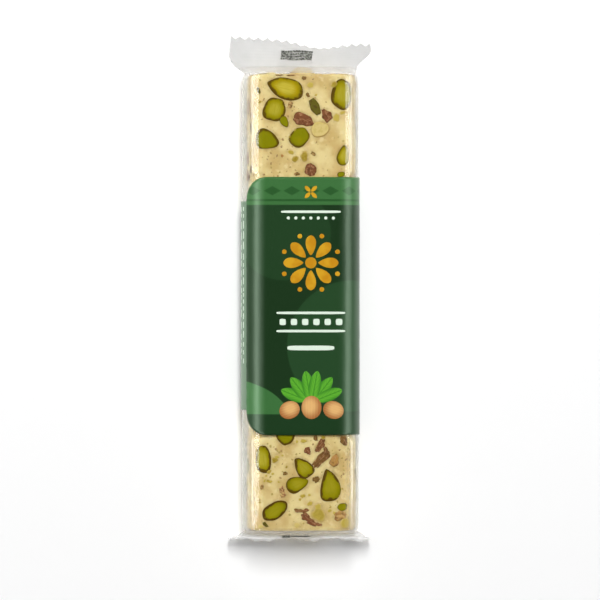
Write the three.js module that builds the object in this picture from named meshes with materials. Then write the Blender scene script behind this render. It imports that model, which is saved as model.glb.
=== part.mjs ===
// A nougat bar sealed in a clear flow-wrap bag, with a printed band wrapped around its middle.
// The bar lies on its back: X runs across it, Y along it and Z up through its thickness.
// All sizes are in millimetres. Each piece is drawn about the middle of the nougat's length, and
// the finished group is moved so that the middle of its base is the origin.
import * as THREE from 'three';
import { mergeVertices } from 'three/addons/utils/BufferGeometryUtils.js';

// The filled part of the bag: an oblong section whose long edges are bevelled where the film is
// pulled over the nougat's edges, and whose sides bow out.
const BODY = { width: 37.4, depth: 17.0, length: 146.6, flatWidth: 26.8 };
const BEVEL = { bend: 0.25, across: 1.8, drop: 1.01, sideHandle: 1.6, bowHandle: 3.6 };
// Towards each end the body draws in a little and its edge rounds over.
const SHOULDER = { length: 5.0, narrowing: 1.6, flattening: 1.3, rings: 4 };
// The film between the body's end and the crimped seal is a tent of straight folds.
const TENT_RINGS = 4;
// The crimped seals. A column of the mesh is half a tooth of the cut edge wide.
const SEAL = {
  halfWidth: 23.0, tipTaper: 0.7, flare: 4.9, flareShare: 0.9, thickness: 0.5, teeth: 15, toothDepth: 1.1,
  rings: 8,
};
// The top seal stands out straight, bows out of its plane, is cut at a slant with one dip, and
// reaches its full width later on the right than on the left.
const TOP_SEAL = {
  tentLength: 2.3, length: 8.3, slant: 0.049, dip: 2.9, dipAt: 6.0, dipWidth: 6.0, bow: 1.5, bowWaves: 1.2,
  flareStart: { left: -0.35, right: -0.05 },
};
// The bottom seal is bent down towards the table.
const BOTTOM_SEAL = {
  tentLength: 1.2, bendRadius: 1.2, bendAngle: 76, length: 8.6, ripple: 0.35, rippleLength: 15.0,
  flareStart: { left: -0.35, right: -0.45 },
};
// The lengthwise seam on the back of the bag, left out where the band lies over it.
const FIN = { from: -5.0, to: 6.5, relief: 0.3, endGap: 2.0, fade: 1.5 };
// The band: one strip that goes round from the left shoulder over the front and back to the left,
// where its shorter end, the tab, is tucked under its rounded front end.
const BAND = {
  top: 40.0, bottom: -42.4, thickness: 0.25, clearance: 0.15, lapStart: 6.3, step: 1.6, rows: 3,
  cornerAcross: 7.0, cornerAlong: 7.7, overlap: 5.0, layerGap: 0.12, layerEnd: 6.0, layerFade: 3.0,
  tabTop: 32.3, tabBottom: -34.4, tabWidth: 17.0, tabFade: 3.0,
};
const COLOURS = { bag: 0xe4cf93, band: 0x24482a };

const COLUMNS = 2 * SEAL.teeth;
const MIDDLE_Z = BAND.thickness + BAND.clearance + BODY.depth / 2;
const OUTLINE_STEPS = 24;
const ROUTE_STEPS = 720;

const lerp = THREE.MathUtils.lerp;
const smoothstep = THREE.MathUtils.smoothstep;

// One corner of the body's section, from the end of the flat face to the middle of the side: a short
// bend, the straight bevel, and a curve that runs out square to the middle.
function cornerPath() {
  const flat = BODY.flatWidth / 2;
  const face = BODY.depth / 2;
  const slope = BEVEL.drop / BEVEL.across;
  const start = new THREE.Vector2(flat + 2 * BEVEL.bend, face - slope * BEVEL.bend);
  const end = new THREE.Vector2(start.x + BEVEL.across, start.y - BEVEL.drop);
  const along = new THREE.Vector2(BEVEL.across, -BEVEL.drop).normalize();
  const handle = end.clone().addScaledVector(along, BEVEL.sideHandle);
  const path = new THREE.Path();
  path.moveTo(flat, face);
  path.quadraticCurveTo(flat + BEVEL.bend, face, start.x, start.y);
  path.lineTo(end.x, end.y);
  path.bezierCurveTo(handle.x, handle.y, BODY.width / 2, BEVEL.bowHandle, BODY.width / 2, 0);
  return path;
}

// The front half of the section, from the left side over the flat face to the right side.
function frontHalf(width, depth) {
  const scale = new THREE.Vector2(width / BODY.width, depth / BODY.depth);
  const right = cornerPath().getPoints(OUTLINE_STEPS).map((p) => p.multiply(scale));
  const left = right.map((p) => new THREE.Vector2(-p.x, p.y)).reverse();
  return [...left, ...right];
}

// Points spread evenly by length along a line of points.
function spread(points, count) {
  const lengths = [0];
  for (let i = 1; i < points.length; i += 1) {
    lengths.push(lengths[i - 1] + points[i].distanceTo(points[i - 1]));
  }
  const total = lengths[lengths.length - 1];
  const result = [];
  let k = 1;
  for (let i = 0; i <= count; i += 1) {
    const target = total * i / count;
    while (k < points.length - 1 && lengths[k] < target) k += 1;
    const share = (target - lengths[k - 1]) / (lengths[k] - lengths[k - 1]);
    result.push(points[k - 1].clone().lerp(points[k], share));
  }
  return result;
}

// How far the seam on the back stands out at a place on the body.
function finRelief(x, y) {
  const across = smoothstep(x, FIN.from, FIN.from + FIN.fade)
    * (1 - smoothstep(x, FIN.to - FIN.fade, FIN.to));
  const overTop = smoothstep(y, BAND.top + FIN.endGap, BAND.top + FIN.endGap + FIN.fade);
  const underBottom = 1 - smoothstep(y, BAND.bottom - FIN.endGap - FIN.fade, BAND.bottom - FIN.endGap);
  return FIN.relief * across * Math.max(overTop, underBottom);
}

// A ring holds the front points from left to right, then the back points from right to left.
function bodyRing(y, width, depth) {
  const half = SEAL.thickness / 2;
  const front = spread(frontHalf(width, depth - SEAL.thickness), COLUMNS);
  const back = [...front].reverse();
  return [
    ...front.map((p) => new THREE.Vector3(p.x, y, MIDDLE_Z + p.y + half)),
    ...back.map((p) => new THREE.Vector3(p.x, y, MIDDLE_Z - p.y - half - finRelief(p.x, y))),
  ];
}

// Where a column of a seal lies across it, from its root (share 0) to its cut edge (share 1): the
// seal flares out from the body's width, and draws in again a little towards its tips.
function sealAcross(column, share, flareStart) {
  const place = 2 * column / COLUMNS - 1;
  const start = place < 0 ? flareStart.left : flareStart.right;
  const flared = smoothstep(share, start, start + SEAL.flareShare);
  const taper = SEAL.tipTaper * smoothstep(share, start + SEAL.flareShare, 1.2);
  return place * (SEAL.halfWidth - SEAL.flare * (1 - flared) - taper);
}

// The teeth of the cut edge: tips on even columns and valleys on odd ones.
function toothOffset(column, share) {
  if (share < 1) return 0;
  return (column % 2 === 0 ? 0.5 : -0.5) * SEAL.toothDepth;
}

// A ring of the top seal: straight out, sagging out of its plane more and more towards its edge.
function topSealRing(root, share) {
  const front = [];
  const back = [];
  for (let i = 0; i <= COLUMNS; i += 1) {
    const x = sealAcross(i, share, TOP_SEAL.flareStart);
    const dip = TOP_SEAL.dip * Math.exp(-(((x - TOP_SEAL.dipAt) / TOP_SEAL.dipWidth) ** 2) / 2);
    const edge = TOP_SEAL.length - TOP_SEAL.slant * x - dip;
    const y = root + edge * share + toothOffset(i, share);
    const wave = Math.PI * TOP_SEAL.bowWaves * (x - TOP_SEAL.dipAt) / SEAL.halfWidth;
    const z = MIDDLE_Z + TOP_SEAL.bow * share * Math.cos(wave);
    front.push(new THREE.Vector3(x, y, z + SEAL.thickness / 2));
    back.unshift(new THREE.Vector3(x, y, z - SEAL.thickness / 2));
  }
  return [...front, ...back];
}

// A ring of the bottom seal, along a path that bends down about a small radius and runs on.
function bottomSealRing(root, share) {
  const fullAngle = THREE.MathUtils.degToRad(BOTTOM_SEAL.bendAngle);
  const travelled = share * BOTTOM_SEAL.length;
  const angle = Math.min(travelled / BOTTOM_SEAL.bendRadius, fullAngle);
  const straight = Math.max(0, travelled - fullAngle * BOTTOM_SEAL.bendRadius);
  const out = BOTTOM_SEAL.bendRadius * Math.sin(angle) + straight * Math.cos(angle);
  const down = BOTTOM_SEAL.bendRadius * (1 - Math.cos(angle)) + straight * Math.sin(angle);
  const front = [];
  const back = [];
  for (let i = 0; i <= COLUMNS; i += 1) {
    const x = sealAcross(i, share, BOTTOM_SEAL.flareStart);
    const ripple = BOTTOM_SEAL.ripple * share * Math.sin(2 * Math.PI * x / BOTTOM_SEAL.rippleLength);
    const tooth = toothOffset(i, share);
    const y = root - out - ripple - tooth * Math.cos(angle);
    const z = MIDDLE_Z - down - tooth * Math.sin(angle);
    const across = SEAL.thickness / 2;
    front.push(new THREE.Vector3(x, y - across * Math.sin(angle), z + across * Math.cos(angle)));
    back.unshift(new THREE.Vector3(x, y + across * Math.sin(angle), z - across * Math.cos(angle)));
  }
  return [...front, ...back];
}

// The rings from just past the middle of the body out to the cut edge of one seal.
function endRings(side, seal, sealRing) {
  const rings = [];
  const end = BODY.length / 2;
  const bandEnd = side > 0 ? BAND.top : BAND.bottom;
  for (const gap of [FIN.endGap, FIN.endGap + FIN.fade]) {
    rings.push(bodyRing(bandEnd + side * gap, BODY.width, BODY.depth));
  }
  for (let i = 0; i <= SHOULDER.rings; i += 1) {
    const angle = (i / SHOULDER.rings) * Math.PI / 2;
    const y = side * (end - SHOULDER.length * (1 - Math.sin(angle)));
    const drawnIn = 1 - Math.cos(angle);
    const width = BODY.width - SHOULDER.narrowing * drawnIn;
    rings.push(bodyRing(y, width, BODY.depth - SHOULDER.flattening * drawnIn));
  }
  const bodyEnd = rings[rings.length - 1];
  const root = side * (end + seal.tentLength);
  const rootRing = sealRing(root, 0);
  for (let i = 1; i < TENT_RINGS; i += 1) {
    rings.push(bodyEnd.map((p, k) => p.clone().lerp(rootRing[k], i / TENT_RINGS)));
  }
  for (let i = 0; i <= SEAL.rings; i += 1) rings.push(sealRing(root, i / SEAL.rings));
  return rings;
}

// A closed geometry from a grid of points and its faces, each of four corners.
function closedGeometry(points, quads) {
  const positions = [];
  for (const [a, b, c, d] of quads) {
    for (const k of [a, b, c, a, c, d]) positions.push(points[k].x, points[k].y, points[k].z);
  }
  const geometry = new THREE.BufferGeometry();
  geometry.setAttribute('position', new THREE.Float32BufferAttribute(positions, 3));
  const merged = mergeVertices(geometry, 1e-4);
  merged.computeVertexNormals();
  return merged;
}

// The bag: rings joined from the bottom seal's cut edge to the top seal's, and closed at both.
function bagGeometry() {
  const lower = endRings(-1, BOTTOM_SEAL, bottomSealRing).reverse();
  const upper = endRings(1, TOP_SEAL, topSealRing);
  const rings = [...lower, ...upper];
  const around = rings[0].length;
  const quads = [];
  for (let r = 0; r < rings.length - 1; r += 1) {
    for (let k = 0; k < around; k += 1) {
      const next = (k + 1) % around;
      quads.push([r * around + k, r * around + next, (r + 1) * around + next, (r + 1) * around + k]);
    }
  }
  const last = (rings.length - 1) * around;
  for (let k = 0; k < COLUMNS; k += 1) {
    const across = around - 1 - k;
    quads.push([k + 1, k, across, across - 1]);
    quads.push([last + k, last + k + 1, last + across - 1, last + across]);
  }
  return closedGeometry(rings.flat(), quads);
}

// The band's route: the section's whole outline, from its left side over the front and round.
function bandRoute() {
  const front = frontHalf(BODY.width, BODY.depth);
  const back = front.map((p) => new THREE.Vector2(-p.x, -p.y));
  const closed = [...front, ...back.slice(1)];
  const steps = ROUTE_STEPS;
  const even = spread(closed, steps).slice(0, steps);
  let perimeter = 0;
  even.forEach((p, i) => { perimeter += p.distanceTo(even[(i + 1) % steps]); });
  return { even, perimeter };
}

// A place on the route at a distance from the left side, moved out square to it.
function routePoint(route, distance, offset) {
  const steps = route.even.length;
  const place = ((distance / route.perimeter) % 1 + 1) % 1 * steps;
  const index = Math.floor(place);
  const from = route.even[index % steps];
  const to = route.even[(index + 1) % steps];
  const before = route.even[(index - 3 + steps) % steps];
  const after = route.even[(index + 4) % steps];
  const along = after.clone().sub(before).normalize();
  const point = from.clone().lerp(to, place - index);
  return point.add(new THREE.Vector2(-along.y, along.x).multiplyScalar(offset));
}

// The band's upper or lower edge at a distance from its front end.
function bandEdge(distance, length, full, tab) {
  const reach = Math.min(1, Math.max(0, distance / BAND.cornerAcross));
  const rounding = BAND.cornerAlong * (1 - Math.sqrt(1 - (1 - reach) ** 2));
  const toTab = smoothstep(distance, length - BAND.tabWidth, length - BAND.tabWidth + BAND.tabFade);
  return lerp(full - Math.sign(full) * rounding, tab, toTab);
}

// The band: a strip with an outer and an inner face, joined along its edges and at its two ends.
function bandGeometry() {
  const route = bandRoute();
  const length = route.perimeter + BAND.overlap;
  const count = Math.round(length / BAND.step);
  const points = [];
  for (let i = 0; i <= count; i += 1) {
    const distance = length * i / count;
    const lift = 1 - smoothstep(distance, BAND.layerEnd, BAND.layerEnd + BAND.layerFade);
    const inner = BAND.clearance + lift * (BAND.thickness + BAND.layerGap);
    const top = bandEdge(distance, length, BAND.top, BAND.tabTop);
    const bottom = bandEdge(distance, length, BAND.bottom, BAND.tabBottom);
    for (const offset of [inner + BAND.thickness, inner]) {
      const p = routePoint(route, distance + BAND.lapStart, offset);
      for (let row = 0; row <= BAND.rows; row += 1) {
        points.push(new THREE.Vector3(p.x, lerp(bottom, top, row / BAND.rows), MIDDLE_Z + p.y));
      }
    }
  }
  const perFace = BAND.rows + 1;
  const perColumn = 2 * perFace;
  const quads = [];
  for (let i = 0; i < count; i += 1) {
    const here = i * perColumn;
    const next = here + perColumn;
    for (let row = 0; row < BAND.rows; row += 1) {
      quads.push([here + row, next + row, next + row + 1, here + row + 1]);
      const inside = perFace + row;
      quads.push([here + inside + 1, next + inside + 1, next + inside, here + inside]);
    }
    quads.push([here, here + perFace, next + perFace, next]);
    const edge = BAND.rows;
    quads.push([here + edge + perFace, here + edge, next + edge, next + edge + perFace]);
  }
  const finish = count * perColumn;
  for (let row = 0; row < BAND.rows; row += 1) {
    quads.push([row, row + 1, perFace + row + 1, perFace + row]);
    quads.push([finish + row + 1, finish + row, finish + perFace + row, finish + perFace + row + 1]);
  }
  return closedGeometry(points, quads);
}

function piece(name, geometry, material) {
  const mesh = new THREE.Mesh(geometry, new THREE.MeshStandardMaterial(material));
  mesh.name = name;
  return mesh;
}

const nougatBar = new THREE.Group();
nougatBar.add(piece('wrapped_bar', bagGeometry(), { color: COLOURS.bag, roughness: 0.35 }));
nougatBar.add(piece('label_band', bandGeometry(), { color: COLOURS.band, roughness: 0.4 }));

const box = new THREE.Box3().setFromObject(nougatBar);
const centre = box.getCenter(new THREE.Vector3());
nougatBar.position.set(-centre.x, -centre.y, -box.min.z);

export default nougatBar;
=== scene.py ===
"""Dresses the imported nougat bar: film bag, nougat, nuts, printed band, and the studio round it.

Every piece is worked out in millimetres about the middle of the nougat's length, with X across the
bar, Y along it and Z up through its thickness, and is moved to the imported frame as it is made.
"""
from __future__ import annotations

import functools
import logging
import math
from collections.abc import Callable, Iterable, Sequence
from dataclasses import dataclass, field, replace
from enum import Enum
from typing import Any

import bpy
import numpy as np
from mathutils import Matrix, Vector

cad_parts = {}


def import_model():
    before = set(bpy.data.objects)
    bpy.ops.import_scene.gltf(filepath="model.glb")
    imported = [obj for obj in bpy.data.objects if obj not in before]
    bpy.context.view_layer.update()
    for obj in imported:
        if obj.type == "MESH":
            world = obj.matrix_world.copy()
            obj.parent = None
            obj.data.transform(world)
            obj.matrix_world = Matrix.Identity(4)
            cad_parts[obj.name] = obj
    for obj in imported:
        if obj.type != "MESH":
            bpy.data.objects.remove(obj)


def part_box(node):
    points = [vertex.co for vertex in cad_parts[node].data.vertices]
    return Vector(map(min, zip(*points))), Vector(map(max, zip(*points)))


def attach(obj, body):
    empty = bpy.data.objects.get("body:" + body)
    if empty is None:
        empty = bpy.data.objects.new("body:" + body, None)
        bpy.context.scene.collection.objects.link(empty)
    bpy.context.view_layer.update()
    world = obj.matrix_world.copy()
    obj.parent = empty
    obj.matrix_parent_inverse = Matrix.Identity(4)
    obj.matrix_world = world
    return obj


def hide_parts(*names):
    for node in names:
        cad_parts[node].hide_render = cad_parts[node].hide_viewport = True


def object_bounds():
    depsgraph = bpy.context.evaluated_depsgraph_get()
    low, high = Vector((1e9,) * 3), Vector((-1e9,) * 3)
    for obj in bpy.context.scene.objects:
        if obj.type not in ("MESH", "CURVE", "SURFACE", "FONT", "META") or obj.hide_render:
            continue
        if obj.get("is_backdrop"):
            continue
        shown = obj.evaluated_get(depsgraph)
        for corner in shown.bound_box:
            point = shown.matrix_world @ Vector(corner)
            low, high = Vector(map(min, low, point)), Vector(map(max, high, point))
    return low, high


MM = 0.001
TURN = 2.0 * math.pi
BIT_MAP_MM = 20.0
BODY_NAME = "root"
TOP_SEAL_NAME = "top_seal"
LOG = logging.getLogger("nougat_bar")

Array = np.ndarray
Colour = tuple[float, float, float]
Material = bpy.types.Material
Socket = bpy.types.NodeSocket


# ---- Numbers, noise and mesh helpers ----


def smoothstep(value: Array | float, low: float, high: float) -> Array:
    """A smooth rise, 3t^2 - 2t^3, from 0 at low to 1 at high."""
    share = np.clip((np.asarray(value, float) - low) / (high - low), 0.0, 1.0)
    return share * share * (3.0 - 2.0 * share)


def lerp(start: Any, end: Any, share: Any) -> Any:
    """The value a share of the way from start to end."""
    return start + (end - start) * share


def shown(red: int, green: int, blue: int) -> Colour:
    """A linear colour from the red, green and blue of 0 to 255 that it shows on a screen."""
    level = np.array([red, green, blue]) / 255.0
    linear = np.where(level <= 0.04045, level / 12.92, ((level + 0.055) / 1.055) ** 2.4)
    return tuple(float(v) for v in linear)


@functools.cache
def lattice(seed: int, size: int = 48) -> Array:
    """A cube of random values from -1 to 1."""
    return np.random.default_rng(seed).uniform(-1.0, 1.0, (size,) * 3)


def smooth_noise(seed: int, points: Array, scale: float | Sequence[float]) -> Array:
    """Random values from -1 to 1 on a lattice of whole numbers, blended smoothly between them.

    Args:
        seed: the lattice's seed.
        points: an array whose last axis holds x, y and z.
        scale: the lattice's spacing, one number or one for each axis.

    Returns:
        The corner values of each point's cell, weighted by how near each corner is.
    """
    table = lattice(seed)
    place = np.asarray(points, float) / np.asarray(scale, float)
    cell = np.floor(place).astype(int)
    share = smoothstep(place - cell, 0.0, 1.0)
    total = np.zeros(place.shape[:-1])
    for corner in np.ndindex(2, 2, 2):
        index = np.moveaxis((cell + corner) % len(table), -1, 0)
        total += table[tuple(index)] * np.where(corner, share, 1.0 - share).prod(axis=-1)
    return total


@dataclass
class Patch:
    """Points in millimetres, the faces between them and named values held at the points."""

    points: Array
    faces: list[Array]
    values: dict[str, Array] = field(default_factory=dict)
    uv: Array | None = None

    @staticmethod
    def joined(patches: Sequence[Patch]) -> Patch:
        """One patch that holds several, with each one's faces moved on to its own points."""
        starts = np.cumsum([0] + [len(p.points) for p in patches[:-1]])
        faces = [f + start for p, start in zip(patches, starts) for f in p.faces]
        values = {k: np.concatenate([p.values[k] for p in patches]) for k in patches[0].values}
        uv = None if patches[0].uv is None else np.concatenate([p.uv for p in patches])
        return Patch(np.concatenate([p.points for p in patches]), faces, values, uv)


def ring_quads(rings: int, around: int) -> Array:
    """The faces between neighbouring closed rings of points.

    Args:
        rings: how many rings there are.
        around: how many points each ring has.

    Returns:
        Four point numbers for each face, which faces out where the rings turn left to right
        over the top.
    """
    ring = np.arange(rings - 1)[:, None] * around
    here = np.arange(around)
    following = (here + 1) % around
    corners = (ring + here, ring + following, ring + around + following, ring + around + here)
    return np.stack(corners, axis=-1).reshape(-1, 4)


def capped_tube(rings: Array) -> Patch:
    """A closed shape from rings of points, of shape (rings, around, 3).

    Args:
        rings: the rings' points.

    Returns:
        The patch. Its last two points are the first ring's middle and the last ring's middle.
    """
    count, around = rings.shape[:2]
    here = np.arange(around)
    following = (here + 1) % around
    first, base = count * around, (count - 1) * around
    start = np.stack([np.full(around, first), following, here], axis=-1)
    end = np.stack([np.full(around, first + 1), base + here, base + following], axis=-1)
    poles = [rings[0].mean(axis=0), rings[-1].mean(axis=0)]
    return Patch(np.concatenate([rings.reshape(-1, 3), poles]),
                 [ring_quads(count, around), start, end])


def spread_evenly(line: Array, count: int) -> Array:
    """A number of points, spread evenly by length along a line of points in a plane."""
    steps = np.linalg.norm(np.diff(line, axis=0), axis=1)
    lengths = np.concatenate([[0.0], np.cumsum(steps)])
    targets = np.linspace(0.0, lengths[-1], count)
    return np.stack([np.interp(targets, lengths, line[:, axis]) for axis in range(2)], axis=-1)


def bezier(corners: Sequence[Sequence[float]], share: Array) -> Array:
    """Points on a Bezier curve.

    Args:
        corners: its control points.
        share: places along it, from 0 to 1.

    Returns:
        The control points weighted by the Bernstein polynomials of their count.
    """
    degree = len(corners) - 1
    return sum((math.comb(degree, i) * share**i * (1.0 - share) ** (degree - i))[:, None]
               * np.asarray(corner, float) for i, corner in enumerate(corners))


def superellipse(angles: Array, power: float) -> Array:
    """Points of the curve |x|^power + |y|^power = 1 at some angles."""
    cosine, sine = np.cos(angles), np.sin(angles)
    reach = (np.abs(cosine) ** power + np.abs(sine) ** power) ** (-1.0 / power)
    return np.stack([cosine * reach, sine * reach], axis=-1)


def polygon(angles: Array, corners: int) -> Array:
    """The reach of a regular polygon at some angles: cos(half step) over cos(off its side)."""
    step = TURN / corners
    off = np.mod(angles, step) - step / 2
    return math.cos(step / 2) / np.cos(off) * (2.0 / (1.0 + math.cos(step / 2)))


def turned(p: Any, q: Any, degrees: float) -> tuple[Any, Any]:
    """Distances along and across a shape, turned by an angle."""
    turn = math.radians(degrees)
    return p * math.cos(turn) - q * math.sin(turn), p * math.sin(turn) + q * math.cos(turn)


def grid_normals(rings: Array) -> Array:
    """Unit normals on closed rings, from the cross product of their two directions."""
    around = np.roll(rings, -1, axis=1) - np.roll(rings, 1, axis=1)
    normals = np.cross(around, np.gradient(rings, axis=0))
    return normals / np.maximum(np.linalg.norm(normals, axis=-1, keepdims=True), 1e-9)


class Workshop:
    """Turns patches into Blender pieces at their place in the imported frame."""

    def __init__(self) -> None:
        """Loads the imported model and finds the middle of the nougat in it."""
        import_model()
        self.cad_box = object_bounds()
        band_high = np.array(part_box("label_band")[1]) / MM
        across = BAG_SECTION.width / 2 + BandSizes.clearance + BandSizes.thickness
        self.middle = np.array([band_high[0] - across, band_high[1] - BandSizes.top, 0.0])
        LOG.info("nougat's middle at %s mm", self.middle)

    def piece(self, name: str, patch: Patch, material: Material) -> bpy.types.Object:
        """A mesh object at the origin, linked to the scene, with its place in its mesh.

        Args:
            name: the piece's name.
            patch: its points, faces and values.
            material: its finish.

        Returns:
            The object.
        """
        mesh = bpy.data.meshes.new(name)
        places = (patch.points + self.middle) * MM
        faces = [corners for block in patch.faces for corners in block.tolist()]
        mesh.from_pydata(places.tolist(), [], faces)
        for key, values in patch.values.items():
            held = mesh.attributes.new(key, "FLOAT", "POINT")
            held.data.foreach_set("value", np.ascontiguousarray(values, dtype=np.float32))
        if patch.uv is not None:
            layer = mesh.uv_layers.new(name="surface")
            corners = np.zeros(len(mesh.loops), dtype=np.int32)
            mesh.loops.foreach_get("vertex_index", corners)
            layer.data.foreach_set("uv", patch.uv[corners].astype(np.float32).ravel())
        mesh.polygons.foreach_set("use_smooth", np.ones(len(mesh.polygons), dtype=bool))
        mesh.update()
        mesh.materials.append(material)
        made = bpy.data.objects.new(name, mesh)
        bpy.context.scene.collection.objects.link(made)
        return made

    def food_piece(self, name: str, patch: Patch, material: Material, node: str) -> None:
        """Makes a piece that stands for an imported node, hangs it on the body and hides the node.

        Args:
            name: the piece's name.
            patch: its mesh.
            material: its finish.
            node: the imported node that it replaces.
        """
        made = self.piece(name, patch, material)
        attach(made, BODY_NAME)
        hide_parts(node)
        LOG.info("%s: %d triangles", name, sum(len(p.vertices) - 2 for p in made.data.polygons))


# ---- Shader maths ----


def math_method(operation: str, reflected: bool = False) -> Callable[..., Value]:
    """A method of Value that adds one Math node.

    Args:
        operation: what the node does.
        reflected: whether the value is the node's second number.

    Returns:
        The method, which takes the node's other number if it has one.
    """

    def method(self: Value, *others: Any) -> Value:
        """Adds the node and wraps its result."""
        numbers = (*others, self) if reflected else (self, *others)
        return self.shade.value("Math", {"operation": operation}, dict(enumerate(numbers)))

    return method


class Value:
    """A number that varies over a surface. Arithmetic on it adds Math nodes."""

    __add__ = __radd__ = math_method("ADD")
    __sub__, __rsub__ = math_method("SUBTRACT"), math_method("SUBTRACT", True)
    __mul__ = __rmul__ = math_method("MULTIPLY")
    __truediv__, __rtruediv__ = math_method("DIVIDE"), math_method("DIVIDE", True)
    __pow__, __abs__ = math_method("POWER"), math_method("ABSOLUTE")
    least, most = math_method("MINIMUM"), math_method("MAXIMUM")
    sine, remainder = math_method("SINE"), math_method("FLOORED_MODULO")

    def __init__(self, shade: Shade, socket: Socket) -> None:
        """Wraps a socket of a material's node tree."""
        self.shade = shade
        self.socket = socket

    def rise(self, low: float, high: float) -> Value:
        """A smooth rise from 0 at low to 1 at high."""
        inputs = {"Value": self, "From Min": low, "From Max": high}
        return self.shade.value("MapRange", {"interpolation_type": "SMOOTHSTEP"}, inputs)

    def fall(self, low: float, high: float) -> Value:
        """A smooth fall from 1 at low to 0 at high."""
        return 1.0 - self.rise(low, high)

    def clamped(self) -> Value:
        """This, kept between 0 and 1."""
        return self.least(1.0).most(0.0)


class Shade:
    """Builds the node tree of one material."""

    def __init__(self, name: str) -> None:
        """Starts a material with an empty tree."""
        self.material = bpy.data.materials.new(name)
        self.material.use_nodes = True
        self.tree = self.material.node_tree
        self.tree.nodes.clear()

    def give(self, socket: Socket, given: Any) -> None:
        """Links a Value or a socket to a socket, or sets it to a number, a colour or a vector."""
        given = given.socket if isinstance(given, Value) else given
        if isinstance(given, Socket):
            self.tree.links.new(given, socket)
        elif socket.type == "RGBA" and len(given) == 3:
            socket.default_value = (*given, 1.0)
        else:
            socket.default_value = given

    def node(self, kind: str, settings: dict[str, Any] | None = None,
             inputs: dict[Any, Any] | None = None) -> bpy.types.Node:
        """Any shader node.

        Args:
            kind: its type, without the words ShaderNode.
            settings: its properties, set first.
            inputs: what its sockets are given, by name or number.

        Returns:
            The node.
        """
        made = self.tree.nodes.new("ShaderNode" + kind)
        for key, setting in (settings or {}).items():
            setattr(made, key, setting)
        for key, given in (inputs or {}).items():
            self.give(made.inputs[key], given)
        return made

    def value(self, *described: Any) -> Value:
        """A node's first output as a Value, from what `node` takes."""
        return Value(self, self.node(*described).outputs[0])

    def place(self) -> Socket:
        """The point's place on the object."""
        return self.node("TexCoord").outputs["Object"]

    def across_up(self) -> tuple[Value, Value]:
        """The two numbers of the piece's own surface map."""
        source = self.node("UVMap", {"uv_map": "surface"})
        parts = self.node("SeparateXYZ", None, {0: source.outputs["UV"]})
        return Value(self, parts.outputs["X"]), Value(self, parts.outputs["Y"])

    def held(self, name: str) -> Value:
        """A value held at the piece's points."""
        return Value(self, self.node("Attribute", {"attribute_name": name}).outputs["Fac"])

    def noise(self, size_mm: float, detail: float, seed: float, rough: float = 0.5) -> Value:
        """Cloudy noise from 0 to 1.

        Args:
            size_mm: the size of its clouds.
            detail: how many finer layers are added.
            seed: the place in the fourth direction, which gives another pattern.
            rough: how strong the finer layers are.

        Returns:
            The noise.
        """
        inputs = {"Vector": self.place(), "W": seed, "Scale": 1.0 / (size_mm * MM),
                  "Detail": detail, "Roughness": rough}
        return self.value("TexNoise", {"noise_dimensions": "4D"}, inputs)

    def streaks(self, across_mm: float, along_mm: float) -> Value:
        """Noise from 0 to 1 drawn out along a bit's own length.

        Args:
            across_mm: the streaks' width.
            along_mm: their length.

        Returns:
            The noise.
        """
        x, y = (part * BIT_MAP_MM for part in self.across_up())
        spot = self.node("CombineXYZ", None, {0: x / along_mm, 1: y / across_mm})
        inputs = {"Vector": spot.outputs[0], "Scale": 1.0, "Detail": 2.0}
        return self.value("TexNoise", None, inputs)

    def blend(self, share: Any, first: Any, second: Any) -> Socket:
        """The first colour where the share is 0, and the second where it is 1."""
        made = self.node("Mix", {"data_type": "RGBA"})
        ends = {s.identifier: s for s in (*made.inputs, *made.outputs)}
        for key, given in (("Factor_Float", share), ("A_Color", first), ("B_Color", second)):
            self.give(ends[key], given)
        return ends["Result_Color"]

    def bump(self, height: Value, depth_mm: float, strength: float = 1.0) -> Socket:
        """A normal bent by a height of 0 to 1 that stands for a depth in millimetres."""
        inputs = {"Height": height, "Distance": depth_mm * MM, "Strength": strength}
        return self.node("Bump", None, inputs).outputs["Normal"]

    def principled(self, **inputs: Any) -> Socket:
        """A Principled shader, its sockets named with underscores for spaces."""
        named = {key.replace("_", " "): given for key, given in inputs.items()}
        return self.node("BsdfPrincipled", None, named).outputs[0]

    def finish(self, shader: Socket) -> Material:
        """Sends a shader to the material's output and returns the material."""
        self.node("OutputMaterial", None, {"Surface": shader})
        return self.material

    def coat(self, **inputs: Any) -> Material:
        """The material as one Principled shader."""
        return self.finish(self.principled(**inputs))


# ---- The section that the bag, the nougat and the band share ----


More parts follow.
